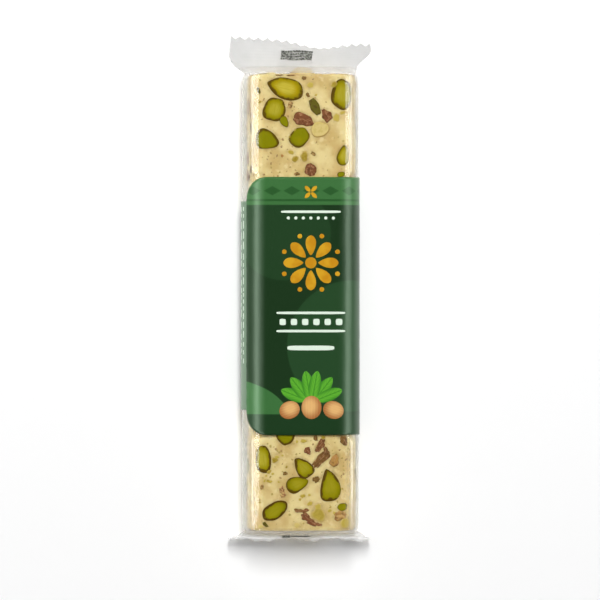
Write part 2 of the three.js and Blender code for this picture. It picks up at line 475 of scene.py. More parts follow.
@dataclass(frozen=True)
class Section:
    """An oblong section with bevelled long edges and bowed sides, in millimetres."""

    width: float = 37.4
    depth: float = 17.0
    flat_width: float = 26.8
    bend: float = 0.15
    across: float = 2.4
    drop: float = 1.34
    side_handle: float = 1.6
    bow_handle: float = 3.6
    right_bow_handle: float = 3.6
    lean: float = 0.0
    steps: int = 24

    def corner(self, bow_handle: float) -> Array:
        """One corner, from the end of the flat face to the middle of the side.

        Args:
            bow_handle: how long the side stays upright before it turns.

        Returns:
            Points of a short quadratic bend, the straight bevel, and a cubic curve that leaves
            along the bevel and meets the middle of the side square.
        """
        flat, face = self.flat_width / 2, self.depth / 2
        bevel = np.array([self.across, -self.drop])
        start = np.array([flat + 2 * self.bend, face - self.drop / self.across * self.bend])
        end = start + bevel
        along = bevel / math.hypot(self.across, self.drop)
        side = (self.width / 2, 0.0)
        share = np.linspace(0.0, 1.0, self.steps + 1)
        turn = bezier([(flat, face), (flat + self.bend, face), start], share)
        curve = bezier([end, end + along * self.side_handle, (side[0], bow_handle), side], share)
        return np.concatenate([turn, curve])

    def front_half(self) -> Array:
        """The front half, from the middle of the left side over the flat face to the right.

        Returns:
            Its points, with the face leaned across by a parabola that leaves the sides in place.
        """
        left = self.corner(self.bow_handle)[::-1] * [-1.0, 1.0]
        line = np.concatenate([left, self.corner(self.right_bow_handle)])
        line[:, 0] += self.lean * (1.0 - (2.0 * line[:, 0] / self.width) ** 2)
        return line

    def outline(self) -> Array:
        """The closed outline, from the middle of the left side over the front and round."""
        front = self.front_half()
        return np.concatenate([front, front[-2::-1] * [1.0, -1.0]])


BAG_SECTION = Section(lean=0.14)
BAND_SECTION = Section(flat_width=20.2, bend=2.05, across=0.02, drop=0.0107, side_handle=2.6,
                       right_bow_handle=4.6, lean=0.8)


class Wrap:
    """Places given by a distance round a section and a distance along the bar."""

    REACH = 0.25

    def __init__(self, section: Section, shift: float = 0.0) -> None:
        """Measures the section's outline, which is moved across by the shift."""
        self.line = section.outline() + [shift, 0.0]
        steps = np.linalg.norm(np.diff(self.line, axis=0), axis=1)
        self.lengths = np.concatenate([[0.0], np.cumsum(steps)])
        self.girth = float(self.lengths[-1])

    def outline_at(self, around: Array) -> Array:
        """X and Z at distances round the section, from the middle of the front to the right."""
        distance = np.mod(np.asarray(around, float) + self.girth / 4, self.girth)
        parts = [np.interp(distance, self.lengths, self.line[:, axis]) for axis in range(2)]
        return np.stack(parts, axis=-1)

    def place(self, around: Array, along: Array, height: Array | float) -> Array:
        """Points over the wrapped surface.

        Args:
            around: distances round the section from the middle of the front.
            along: distances along the bar.
            height: how far over the surface, square to it.

        Returns:
            The points, each moved out from the outline along its left-hand normal.
        """
        here = self.outline_at(around)
        ahead = self.outline_at(around + self.REACH) - self.outline_at(around - self.REACH)
        ahead /= np.maximum(np.linalg.norm(ahead, axis=-1, keepdims=True), 1e-9)
        x = here[..., 0] - ahead[..., 1] * height
        z = here[..., 1] + ahead[..., 0] * height + MIDDLE_Z
        return np.stack([x, np.broadcast_to(along, x.shape), z], axis=-1)


# ---- The film bag ----


@dataclass(frozen=True)
class BandSizes:
    """The printed band's sizes in millimetres."""

    top: float = 40.0
    bottom: float = -42.4
    thickness: float = 0.25
    clearance: float = 0.15
    lap_start: float = 5.2
    corner_across: float = 7.0
    corner_along: float = 7.7
    overlap: float = 5.0
    layer_gap: float = 0.12
    layer_end: float = 6.0
    layer_fade: float = 3.0
    tab_top: float = 32.3
    tab_bottom: float = -34.4
    tab_width: float = 24.5
    tab_fade: float = 3.0


MIDDLE_Z = BandSizes.thickness + BandSizes.clearance + Section.depth / 2


def under_band(y: float, inside: float) -> float:
    """How far under the band a place along the bar is.

    Args:
        y: the place along the bar.
        inside: how far in from the band's edges the rise starts; it starts outside them where
            this is negative.

    Returns:
        0 far outside the band, rising to 1 over one and a half millimetres.
    """
    low, high = BandSizes.bottom + inside, BandSizes.top - inside
    return float(smoothstep(y, low, low + 1.5) * (1.0 - smoothstep(y, high - 1.5, high)))


def clear_of_band(y: Array | float, start: float, end: float) -> Array:
    """A rise from 0 to 1 between two distances outside the band's edges."""
    return np.maximum(smoothstep(y, BandSizes.top + start, BandSizes.top + end),
                      smoothstep(-y, start - BandSizes.bottom, end - BandSizes.bottom))


@dataclass(frozen=True)
class Seal:
    """A crimped end seal, in millimetres, with shares that run from its root to its cut edge."""

    side: int
    tent_length: float
    length: float
    flare_left: float
    flare_right: float
    half_width: float = 22.93
    flare: float = 4.9
    flare_share: float = 0.9
    tip_taper: float = 0.7
    thickness: float = 0.5
    teeth: int = 15
    tooth_depth: float = 0.85
    ribs: int = 9
    rib_height: float = 0.006

    def root(self) -> float:
        """Y of the seal's root, at the end of the tent."""
        return self.side * (Bag.length / 2 + self.tent_length)

    def across(self, place: Array, share: Array) -> Array:
        """X across the seal: it flares out from the body's width and draws in at its tips.

        Args:
            place: the place across, from -1 to 1.
            share: the place from the root (0) to the cut edge (1).

        Returns:
            The place times the half width, which rises by the flare with a smooth step.
        """
        start = np.where(place < 0, self.flare_left, self.flare_right)
        flared = smoothstep(share, start, start + self.flare_share)
        taper = self.tip_taper * smoothstep(share, start + self.flare_share, 1.2)
        return place * (self.half_width - self.flare * (1.0 - flared) - taper)

    def reach(self, x: Array) -> Array:
        """The seal's length from root to cut edge at some places across it."""
        return np.full_like(x, self.length)

    def found(self, x: Array, distance: Array) -> tuple[Array, Array]:
        """The place and share of points given in millimetres across and from the root."""
        share = distance / self.reach(x)
        side = np.where(x < 0, -1.0, 1.0)
        return x / (side * self.across(side, share)), share

    def tooth(self, place: Array, share: Array) -> Array:
        """How far the cut edge's teeth reach: an eased triangle wave, a tip at each corner."""
        wave = np.abs(np.mod((place + 1.0) / 2.0 * self.teeth, 1.0) * 2.0 - 1.0)
        eased = lerp(wave, smoothstep(wave, 0.0, 1.0), 0.6) - 0.5
        return self.tooth_depth * eased * smoothstep(share, 0.86, 1.0)

    def ribbing(self, share: Array) -> Array:
        """The crimp's fine ribs across the seal: a sine along it that fades at both ends."""
        fade = smoothstep(share, 0.12, 0.2) * (1.0 - smoothstep(share, 0.93, 0.99))
        return self.rib_height * np.sin(share * self.ribs * TURN) * fade

    def place(self, place: Array, share: Array, lift: float) -> Array:
        """Points on one face of the seal; each kind of seal has its own.

        Args:
            place: places across, from -1 to 1.
            share: places from root to cut edge.
            lift: the offset from the seal's middle sheet.

        Returns:
            The points.
        """
        raise NotImplementedError


@dataclass(frozen=True)
class TopSeal(Seal):
    """The seal that stands out straight and bows out of its plane."""

    slant: float = 0.049
    dip: float = 2.2
    dip_at: float = 6.0
    dip_width: float = 6.0
    worn: float = 0.6
    worn_width: float = 7.0
    bow: float = 1.5
    bow_waves: float = 1.2

    def reach(self, x: Array) -> Array:
        """The length at some places across: a slanted edge with one bell-shaped dip."""
        dip = self.dip * np.exp(-(((x - self.dip_at) / self.dip_width) ** 2) / 2.0)
        return self.length - self.slant * x - dip

    def place(self, place: Array, share: Array, lift: float) -> Array:
        """Points whose Y runs to the cut edge, and whose Z bows as a cosine that grows to it."""
        x = self.across(place, share)
        worn = 1.0 - self.worn * np.exp(-(((x - self.dip_at) / self.worn_width) ** 2))
        y = self.root() + self.reach(x) * share + self.tooth(place, share) * worn
        wave = math.pi * self.bow_waves * (x - self.dip_at) / self.half_width
        z = MIDDLE_Z + self.bow * share * np.cos(wave) + self.ribbing(share) + lift
        return np.stack([x, y, z], axis=-1)


@dataclass(frozen=True)
class BottomSeal(Seal):
    """The seal that is bent down towards the table."""

    bend_radius: float = 1.2
    bend_angle: float = 84.0
    ripple: float = 0.5
    ripple_length: float = 15.0

    def place(self, place: Array, share: Array, lift: float) -> Array:
        """Points along an arc and then straight on, moved square to the path by lift and ribs."""
        x = self.across(place, share)
        full = math.radians(self.bend_angle)
        travelled = share * self.length
        angle = np.minimum(travelled / self.bend_radius, full)
        straight = np.maximum(0.0, travelled - full * self.bend_radius) + self.tooth(place, share)
        out = self.bend_radius * np.sin(angle) + straight * np.cos(angle)
        down = self.bend_radius * (1.0 - np.cos(angle)) + straight * np.sin(angle)
        waves = np.sin(TURN * x / self.ripple_length) + 0.6 * np.sin(1.3 * x + 1.0)
        off = lift + self.ribbing(share)
        y = self.root() - out - self.ripple * share * waves - off * np.sin(angle)
        z = MIDDLE_Z - down + off * np.cos(angle)
        return np.stack([x, y, z], axis=-1)


TOP_SEAL = TopSeal(side=1, tent_length=2.3, length=8.3, flare_left=-0.53, flare_right=-0.12)
BOTTOM_SEAL = BottomSeal(side=-1, tent_length=1.2, length=8.6, flare_left=-0.35,
                         flare_right=-0.45)


@dataclass(frozen=True)
class InkRow:
    """A row of dashes on a seal, in millimetres from its root and across it."""

    distance: float
    start: float
    end: float
    thickness: float
    count: int
    seed: int
    wave: float = 0.0
    slope: float = 0.0


@dataclass(frozen=True)
class Bag:
    """The clear film bag: a body pulled over the nougat, tents at its ends, and two seals."""

    section: Section = BAG_SECTION
    tight: Section = Section(flat_width=31.0, across=0.6, drop=0.34)
    banded: Section = BAND_SECTION
    length: float = 146.6
    shoulder_length: float = 5.0
    narrowing: float = 1.6
    flattening: float = 1.3
    columns: int = 120
    body_step: float = 1.1
    shoulder_rings: int = 12
    tent_rings: int = 10
    seal_rings: int = 56
    shoulder_crimp: float = 0.4
    root_crimp: float = 0.6
    body_crimp: float = 0.3
    slack: float = 0.1
    crease: float = 0.22
    crease_reach: float = 7.0
    bottom_lean: float = 0.75
    top_lean: float = 0.0
    corner_pull: float = 0.7
    seal_thinning: float = 0.8
    tip_thinning: float = 0.65
    thin_width: float = 11.0
    tip_from: float = 14.0
    tip_to: float = 22.5
    side_from: float = 13.4
    side_to: float = 17.0
    fin_from: float = -5.0
    fin_to: float = 6.5
    fin_relief: float = 0.28
    fin_fade: float = 0.8
    lowest: float = 0.03

    def body_ring(self, y: float, width: float, depth: float) -> Array:
        """A ring of the body.

        Args:
            y: its place along the bar.
            width: its width.
            depth: its depth.

        Returns:
            The front's points from left to right, then the back's to the left. The film leans,
            is pulled tight at the right below the band, is squeezed under the band, and has a
            low lengthwise seam on its back.
        """
        size = [width / self.section.width, (depth - Seal.thickness) / self.section.depth]
        lean = lerp(self.bottom_lean, self.top_lean, y / self.length + 0.5)
        loose, tight = (replace(s, lean=lean).front_half() for s in (self.section, self.tight))
        pulled = np.where(loose[:, :1] > 0.0, self.corner_pull * smoothstep(-y, 30.0, 42.0), 0.0)
        bare = spread_evenly(lerp(loose, tight, pulled) * size, self.columns + 1)
        held = spread_evenly(self.banded.front_half() * size, self.columns + 1)
        x, rise = (lerp(bare, held, under_band(y, -1.5)) + [0.0, Seal.thickness / 2]).T
        fin = self.fin_relief * smoothstep(x, self.fin_from, self.fin_from + self.fin_fade)
        fin = fin * (1.0 - smoothstep(x, self.fin_to - self.fin_fade, self.fin_to))
        ys = np.full_like(x, y)
        top = np.stack([x, ys, MIDDLE_Z + rise], axis=-1)
        under = np.stack([x, ys, MIDDLE_Z - rise - fin * clear_of_band(y, 2.0, 3.5)], axis=-1)
        return np.concatenate([top, under[::-1]])

    def seal_ring(self, seal: Seal, share: float) -> Array:
        """A ring of a seal: its front face from left to right, then its back face."""
        place = np.linspace(-1.0, 1.0, self.columns + 1)
        shares = np.full_like(place, share)
        top, under = (seal.place(place, shares, side * seal.thickness / 2) for side in (1, -1))
        return np.concatenate([top, under[::-1]])

    def end_rings(self, seal: Seal) -> tuple[list[Array], list[float]]:
        """The rings of one end and how crimped each is.

        Args:
            seal: the seal at that end.

        Returns:
            The rings from the body's shoulder out to the cut edge, and a share for each: 0 on
            the body, rising over its shoulder and the tent to 1 on the seal.
        """
        rings, crimp = [], []
        for angle in np.linspace(0.0, math.pi / 2, self.shoulder_rings + 1):
            y = seal.side * (self.length / 2 - self.shoulder_length * (1.0 - math.sin(angle)))
            drawn = 1.0 - math.cos(angle)
            width = self.section.width - self.narrowing * drawn
            rings.append(self.body_ring(y, width, self.section.depth - self.flattening * drawn))
            crimp.append(self.shoulder_crimp * drawn * drawn)
        body_end, root = rings[-1], self.seal_ring(seal, 0.0)
        for share in np.arange(1, self.tent_rings) / self.tent_rings:
            rings.append(lerp(body_end, root, share))
            crimp.append(lerp(self.shoulder_crimp, self.root_crimp, share))
        for share in np.linspace(0.0, 1.0, self.seal_rings + 1):
            rings.append(self.seal_ring(seal, share))
            crimp.append(lerp(self.root_crimp, 1.0, smoothstep(share, 0.0, 0.25)))
        return rings, crimp

    def rings(self) -> tuple[Array, Array]:
        """All the rings, from the bottom seal's cut edge to the top seal's, and their crimp."""
        lower, lower_crimp = self.end_rings(BOTTOM_SEAL)
        upper, upper_crimp = self.end_rings(TOP_SEAL)
        reach = self.length / 2 - self.shoulder_length
        stations = np.arange(-reach + self.body_step, reach - self.body_step / 2, self.body_step)
        body = [self.body_ring(y, self.section.width, self.section.depth) for y in stations]
        crimp = lower_crimp[::-1] + [0.0] * len(body) + upper_crimp
        return np.array(lower[::-1] + body + upper), np.array(crimp)

    def loosened(self, rings: Array, crimp: Array) -> Array:
        """The film's slack: shallow swells over the body and short creases near its ends.

        Args:
            rings: the rings' points.
            crimp: how crimped each ring is.

        Returns:
            The points moved along their normals by smooth noise, except under the band.
        """
        body = (1.0 - smoothstep(crimp, 0.0, self.body_crimp))[:, None]
        body = body * clear_of_band(rings[..., 1], 0.6, 3.0)
        swell = smooth_noise(11, rings, (7.0, 11.0, 6.0))
        swell = swell + 0.35 * smooth_noise(12, rings, (2.6, 5.0, 2.6))
        to_end = np.maximum(self.length / 2 - np.abs(rings[..., 1]), 0.0)
        near = np.exp(-((to_end / self.crease_reach) ** 2) * 3.0)
        folds = np.maximum(1.0 - np.abs(smooth_noise(13, rings, (2.2, 9.0, 5.0))) * 2.4, 0.0)
        share = (crimp - self.shoulder_crimp) / (self.root_crimp - self.shoulder_crimp)
        tent = np.sin(math.pi * np.clip(share, 0.0, 1.0))[:, None]
        amount = self.slack * swell * body + self.crease * folds * (near * body * 0.6 + 0.2 * tent)
        moved = rings + grid_normals(rings) * amount[..., None]
        moved[..., 2] = np.maximum(moved[..., 2], self.lowest)
        return moved

    def shell(self, rings: Array, crimp: Array) -> Patch:
        """Closed film from a run of rings, with a strip of faces across its first and last.

        Args:
            rings: the rings' points.
            crimp: how crimped each ring is.

        Returns:
            The film. It holds how milky each point is, less in the middle and at the tips of the
            bottom seal, and how near the bag's long sides it is.
        """
        count, around = rings.shape[:2]
        here = np.arange(self.columns)
        across = around - 1 - here
        start = np.stack([here + 1, here, across, across - 1], axis=-1)
        end = np.stack([here, here + 1, across - 1, across], axis=-1) + (count - 1) * around
        x, y = np.abs(rings[..., 0]), rings[..., 1]
        side = smoothstep(x, self.side_from, self.side_to)
        side = side * (1.0 - smoothstep(crimp, 0.0, self.body_crimp))[:, None]
        thin = self.seal_thinning * np.exp(-((x / self.thin_width) ** 2))
        thin = thin + self.tip_thinning * smoothstep(x, self.tip_from, self.tip_to)
        low = smoothstep(-y, self.length / 2, self.length / 2 + 1.5)
        held = {"crimp": (crimp[:, None] * (1.0 - thin * low)).ravel(), "side": side.ravel()}
        return Patch(rings.reshape(-1, 3), [ring_quads(count, around), start, end], held)

    def build(self, shop: Workshop) -> None:
        """Makes the film, its two seals as pieces of their own, and the ink on both seals."""
        rings, crimp = self.rings()
        rings = self.loosened(rings, crimp)
        low, high = self.seal_rings, len(rings) - self.seal_rings - 1
        clear = FilmFinish().material()
        # The bottom seal's film is milkier and has a much paler tint: the paler tint is painted
        # light, standing for the light on the bent-down seal, which faces away from the key.
        milky = FilmFinish("milky_painted_light_film", seal_tint=(0.96, 0.96, 0.95), crimp_haze=0.7).material()
        for name, run, film in (
            ("bottom_seal", slice(0, low + 1), milky),
            ("film_bag", slice(low, high + 1), clear),
            (TOP_SEAL_NAME, slice(high, None), clear),
        ):
            shop.food_piece(name, self.shell(rings[run], crimp[run]), film, "wrapped_bar")
        marks = [self.ink_row(TOP_SEAL, InkRow(2.45 + 0.8 * i, -6.3 + 0.05 * i, 3.6 + 0.12 * i,
                                               0.68, 13, seed=i, wave=0.14, slope=-0.02))
                 for i in range(4)]
        marks.append(self.ink_row(BOTTOM_SEAL, InkRow(0.75, -5.9, -3.2, 0.9, 3, seed=5)))
        marks.append(self.ink_row(BOTTOM_SEAL, InkRow(0.6, -3.0, 3.4, 0.35, 7, seed=6)))
        ink = InkFinish().material()
        shop.food_piece("ink_dashes", Patch.joined(marks), ink, "wrapped_bar")

    def ink_row(self, seal: Seal, row: InkRow) -> Patch:
        """A row of short printed dashes on a seal.

        Args:
            seal: the seal that they are on.
            row: the row's place, and its dashes' size and count.

        Returns:
            Thin closed ovals on the seal's front face, each a ring of points about its middle.
        """
        oval = superellipse(np.linspace(0.0, TURN, 20, endpoint=False), 4.0)
        ends = np.cumsum(np.random.default_rng(50 + row.seed).uniform(0.4, 1.6, row.count))
        ends = lerp(row.start, row.end, np.concatenate([[0.0], ends / ends[-1]]))
        marks = []
        for start, end in zip(ends[:-1], ends[1:]):
            rings = []
            for size, lift in ((0.5, -0.02), (1.0, -0.02), (1.0, 0.03), (0.5, 0.045)):
                x = (start + end) / 2 + oval[:, 0] * ((end - start) / 2 + 0.02) * size
                middle = row.distance + row.slope * x + row.wave * np.sin(0.9 * x + 0.7 * row.seed)
                distance = middle + oval[:, 1] * row.thickness / 2 * size * seal.side
                rings.append(seal.place(*seal.found(x, distance), seal.thickness / 2 + lift))
            marks.append(capped_tube(np.array(rings)))
        return Patch.joined(marks)


# ---- The nougat and what is in it ----


@dataclass(frozen=True)
class Nougat:
    """The block of nougat: a cut bar with softened edges and a faintly uneven surface."""

    section: Section = Section(width=34.8, depth=16.0, flat_width=25.4, bend=0.3, across=1.4,
                               drop=0.9, side_handle=1.3, bow_handle=5.4, right_bow_handle=5.4)
    squeezed: Section = Section(width=34.0, depth=15.8, flat_width=19.6, bend=2.0, across=0.02,
                                drop=0.0107, side_handle=2.4, bow_handle=3.4, right_bow_handle=3.4)
    length: float = 146.0
    shift: float = 0.4
    edge: float = 1.1
    around: int = 224
    step: float = 0.55
    edge_rings: int = 6
    end_rings: int = 14
    swell: float = 0.09
    pits: float = 0.1

    def relief(self, points: Array) -> Array:
        """Its unevenness in millimetres: low swells, and pits where fine noise is deep."""
        swell = smooth_noise(21, points, 6.5) + 0.5 * smooth_noise(22, points, 2.7)
        fine = smooth_noise(23, points, 1.15) + 0.6 * smooth_noise(24, points, 0.6)
        return self.swell * swell - self.pits * smoothstep(-fine, 0.55, 1.2)

    def rings(self) -> Array:
        """Rings along the block, squeezed under the band and drawn in over its ends."""
        bare = spread_evenly(self.section.outline(), self.around + 1)[:-1]
        held = spread_evenly(self.squeezed.outline(), self.around + 1)[:-1]
        half, radius = self.length / 2, self.section.depth / 2
        ahead = [(y, 1.0) for y in np.arange(0.0, half - self.edge, self.step)]
        for angle in np.linspace(0.0, math.pi / 2, self.edge_rings + 1):
            drawn = self.edge * (1.0 - math.cos(angle)) / radius
            ahead.append((half - self.edge * (1.0 - math.sin(angle)), 1.0 - drawn))
        last = ahead[-1][1]
        ahead += [(half, last * share) for share in np.linspace(0.93, 0.05, self.end_rings)]
        rings = []
        for y, scale in [(-y, scale) for y, scale in ahead[:0:-1]] + ahead:
            x, z = (lerp(bare, held, under_band(y, -1.9)) * scale).T
            rings.append(np.stack([x + self.shift, np.full(len(x), y), z + MIDDLE_Z], axis=-1))
        return np.array(rings)

    def build(self, shop: Workshop, nearness: Callable[[Array, Array], Array]) -> None:
        """Makes the block.

        Args:
            shop: the workshop.
            nearness: how near a nut each place round and along the block is, from 0 to 1, which
                sets the painted shade round the nuts.
        """
        rings = self.rings()
        patch = capped_tube(rings + grid_normals(rings) * self.relief(rings)[..., None])
        around = (np.arange(self.around) / self.around - 0.25) * Wrap(self.section).girth
        # How near a nut each point is, which sets the painted shade round the nuts.
        near = nearness(np.broadcast_to(around, rings.shape[:2]), rings[..., 1])
        patch.values = {"near": np.concatenate([near.ravel(), [0.0, 0.0]])}
        shop.food_piece("nougat", patch, NougatFinish().material(), "wrapped_bar")


class Face(Enum):
    """Where a nut lies: wrapped over the long faces, or on one of the end faces."""

    LONG = "long"
    TOP_END = "top end"
    BOTTOM_END = "bottom end"


@dataclass(frozen=True)
class Bit:
    """A nut or a crumb of one in the nougat's cut surface, in millimetres and degrees."""

    across: float
    along: float
    length: float
    width: float
    turn: float = 0.0
    taper: float = 0.15
    ripple: float = 0.03
    square: float = 2.2
    tone: float = 0.5
    skin: float = 0.5
    face: Face = Face.LONG
    bend: float = 0.0
    point: float = 1.0
    tail: float = 1.0
    # The angle of the side where the skin is drawn wider: partly a thicker skin, partly a painted
    # shadow along that edge.
    thick: float | None = None


def bits(fields: str, *rows: Sequence[float]) -> list[Bit]:
    """Bits from rows of numbers; a short row leaves its last fields as they are."""
    return [Bit(**dict(zip(fields.split(), row))) for row in rows]


# The cut kernels that show on the front, over and under the band. Each skin is drawn wider on
# one side, partly a thicker skin and partly a painted shadow along that edge.
FRONT_KERNELS = bits(
    "across along length width turn taper tone skin thick point square tail bend",
    (-5.3, 68.3, 11.9, 6.8, -17, -0.12, 0.8, 0.75, 262, 1.0, 2.2, 1.35),
    (-8.8, 61.6, 7.6, 7.0, 75, 0.12, 0.55, 0.7, 205, 1.0, 2.5),
    (13.0, 66.5, 9.8, 7.2, 86, 0.1, 0.5, 0.8, 200),
    (-11.0, 51.8, 7.8, 6.1, -20, 0.4, 0.12, 0.6, 60, 1.3, 2.4),
    (-0.8, 52.7, 6.7, 5.7, 52, 0.1, 0.15, 0.45, 235, 1.0, 2.5),
    (13.4, 47.0, 6.6, 4.0, 80, 0.4, 0.6, 0.3, 180),
    (-5.2, -42.7, 6.2, 6.0, -87, 0.3, 0.1, 0.8, 250, 1.2),
    (-12.4, -50.1, 8.7, 5.3, 95, 0.12, 0.55, 0.9, 350),
    (0.3, -52.7, 7.4, 5.1, 130, 0.45, 0.4, 0.95, 205, 1.4, 2.4),
    (-1.4, -58.1, 7.4, 4.8, 17, 0.4, 0.35, 0.75, 235, 1.2),
    (8.9, -58.5, 10.3, 6.4, 95, 0.34, 0.32, 0.9, 165, 1.35, 2.2, 1.0, 0.7),
    (-8.6, -66.5, 9.0, 5.2, 33, 0.08, 0.3, 1.0, 50), (13.1, -65.4, 3.5, 2.4, 12, 0.05, 0.2, 0.1),
    (-5.6, 57.6, 3.8, 2.5, -62, 0.3, 0.05, 0.2), (12.6, 40.9, 2.6, 1.6, 12, 0.15, 0.0, 0.4),
)
# The brown and purplish skins that show on the front.
FRONT_SKINS = bits(
    "across along length width turn ripple tone skin taper square",
    (0.5, 58.3, 7.2, 3.9, -22, 0.06, 0.7, 0.9), (7.8, 59.9, 4.2, 3.2, -50, 0.08, 0.7, 0.9, -0.5),
    (2.8, 42.4, 3.9, 3.7, 80, 0.06, 0.72, 0.9, 0.15, 3.0),
    (4.2, 62.4, 5.8, 3.1, -65, 0.02, 0.0, 1.0, 0.05), (-3.7, 63.1, 2.4, 1.5, 60, 0.11, 0.35),
    (0.7, 71.6, 1.5, 1.2, 10, 0.11, 0.3, 0.8), (1.9, 66.2, 1.6, 1.1, -60, 0.11, 0.3, 0.9),
    (3.7, 47.4, 1.7, 1.2, -40, 0.12, 0.25), (-1.6, 41.0, 1.7, 1.2, 10, 0.12, 0.3, 0.6),
    (6.1, -50.2, 7.2, 3.0, 45, 0.1, 0.5, 1.0, -0.2),
    (5.8, -45.9, 4.6, 2.3, 56, 0.1, 0.6, 0.9, -0.2), (4.4, -43.4, 1.9, 1.3, 100, 0.1, 0.4, 1.0),
    (1.9, -47.6, 2.6, 2.0, -50, 0.06, 0.65, 1.0, 0.5),
    (13.6, -44.3, 3.4, 2.5, -55, 0.08, 0.45, 1.0),
    (10.5, -50.5, 4.2, 2.8, 72, 0.028, 1.0, 1.0, 0.4), (4.6, -56.6, 2.4, 1.9, 20, 0.1, 0.3, 0.8),
    (-0.9, -66.6, 3.0, 1.3, -5, 0.12, 0.5, 0.65), (1.2, -66.6, 2.2, 1.4, 20, 0.12, 0.6, 0.7),
    (1.2, -68.6, 3.1, 2.3, -40, 0.12, 0.7, 0.78), (3.0, -70.2, 4.2, 2.0, -28, 0.12, 0.72, 0.75),
    (5.2, -71.0, 2.6, 1.1, -12, 0.12, 0.7, 0.65), (12.3, -68.2, 4.4, 3.0, 12, 0.08, 0.97, 0.6),
    (-11.7, -71.0, 2.3, 1.1, -42, 0.08, 0.1, 0.9), (-6.4, -60.0, 2.4, 1.8, -60, 0.12, 0.75),
    (-5.9, -61.7, 1.8, 1.3, 20, 0.12, 0.7), (-12.8, -59.0, 1.8, 1.2, 70, 0.1, 0.3),
    (-5.3, -54.7, 1.5, 1.3, 0, 0.12, 0.25, 0.7), (-14.0, 67.6, 2.4, 1.1, -70, 0.06, 0.05, 0.8),
    (-7.2, 72.6, 2.6, 0.5, 2, 0.12, 0.4, 0.7), (-3.5, 72.5, 2.9, 0.45, 3, 0.12, 0.5, 0.8),
    (-17.2, 56.0, 3.0, 1.1, 88, 0.08, 0.3, 0.9), (-17.2, 42.6, 2.8, 1.2, 80, 0.08, 0.3, 0.9),
    (7.7, -47.7, 3.6, 1.5, 106, 0.1, 0.5, 0.95),
)
# The pale chips of kernel and cream nut that show on the front.
FRONT_CHIPS = bits(
    "across along length width turn ripple tone square",
    (-3.5, 47.9, 2.2, 1.3, -15, 0.077, 0.6), (-2.1, 45.8, 2.4, 1.9, 40, 0.077, 0.95),
    (0.8, 46.7, 3.3, 2.5, 80, 0.088, 0.9), (2.7, 69.4, 2.2, 1.9, 30, 0.077, 0.25),
    (11.1, 59.0, 2.6, 2.2, 70, 0.066, 0.3), (5.9, 55.2, 6.1, 4.8, 8, 0.028, 0.0),
    (5.4, -68.0, 4.9, 3.9, -40, 0.1, 0.6, 2.6), (14.4, -70.7, 4.2, 3.4, -10, 0.028),
    (0.6, -44.3, 2.2, 1.2, -10, 0.099), (-8.7, -50.4, 2.2, 1.7, 20, 0.11, 0.85),
    (-10.5, -54.1, 1.6, 1.3, 45, 0.11, 0.6), (-10.8, -57.1, 1.3, 1.0, 0, 0.11, 0.7),
    (0.3, -61.9, 1.8, 1.3, 10, 0.11, 0.6), (2.6, -64.3, 1.8, 1.5, 30, 0.11),
    (6.8, -43.2, 1.6, 1.2, 0, 0.083, 1.0), (-8.0, -49.5, 1.7, 1.2, 30, 0.12, 0.45),
    (-10.0, -57.3, 1.2, 0.9, 10, 0.12), (-11.9, -57.0, 1.1, 0.8, 70, 0.12),
    (-9.3, -54.8, 1.0, 0.8, 0, 0.12, 0.3), (-11.4, -55.4, 0.9, 0.7, 30, 0.12, 0.35),
    (-13.6, -63.9, 0.9, 0.7, 0, 0.12, 0.9), (-14.9, -67.2, 1.9, 1.0, 95, 0.12, 0.85),
    (-7.4, -57.4, 0.8, 0.6, 0, 0.12), (-0.6, -63.0, 1.0, 0.8, 20, 0.12, 0.6),
    (2.4, -61.6, 1.0, 0.8, 0, 0.12), (8.9, -66.6, 1.4, 1.0, 10, 0.12),
    (10.6, -67.4, 1.6, 0.9, -20, 0.12, 0.45), (5.2, -65.4, 2.3, 1.8, 20, 0.1, 0.45),
    (-1.5, -71.2, 2.2, 1.4, 8, 0.12, 0.15), (-13.3, -71.6, 1.9, 1.2, 0, 0.12, 0.15),
    (12.9, -59.6, 0.8, 0.7, 0, 0.12, 0.55), (-6.2, -48.9, 0.9, 0.6, 0, 0.12, 0.4),
    (-4.9, -52.6, 1.0, 0.7, 50, 0.12, 0.7), (10.4, 69.6, 2.4, 1.9, 20, 0.1, 0.7),
    (13.2, 60.6, 2.4, 1.0, 20, 0.1, 0.45), (-2.2, 55.0, 1.2, 0.6, 60, 0.12, 0.7),
    (-3.9, 52.9, 0.9, 0.6, 60, 0.12, 0.8),
)


@dataclass(frozen=True)
class BitShape:
    """How finely a kind of bit is modelled and how it stands in the surface."""

    around: int
    inner: int
    rise: float
    sunk: float
    roughness: float
    harmonics: int = 5
    dome: float = 7.0
    corners: int = 0
    ripple: float = 0.1


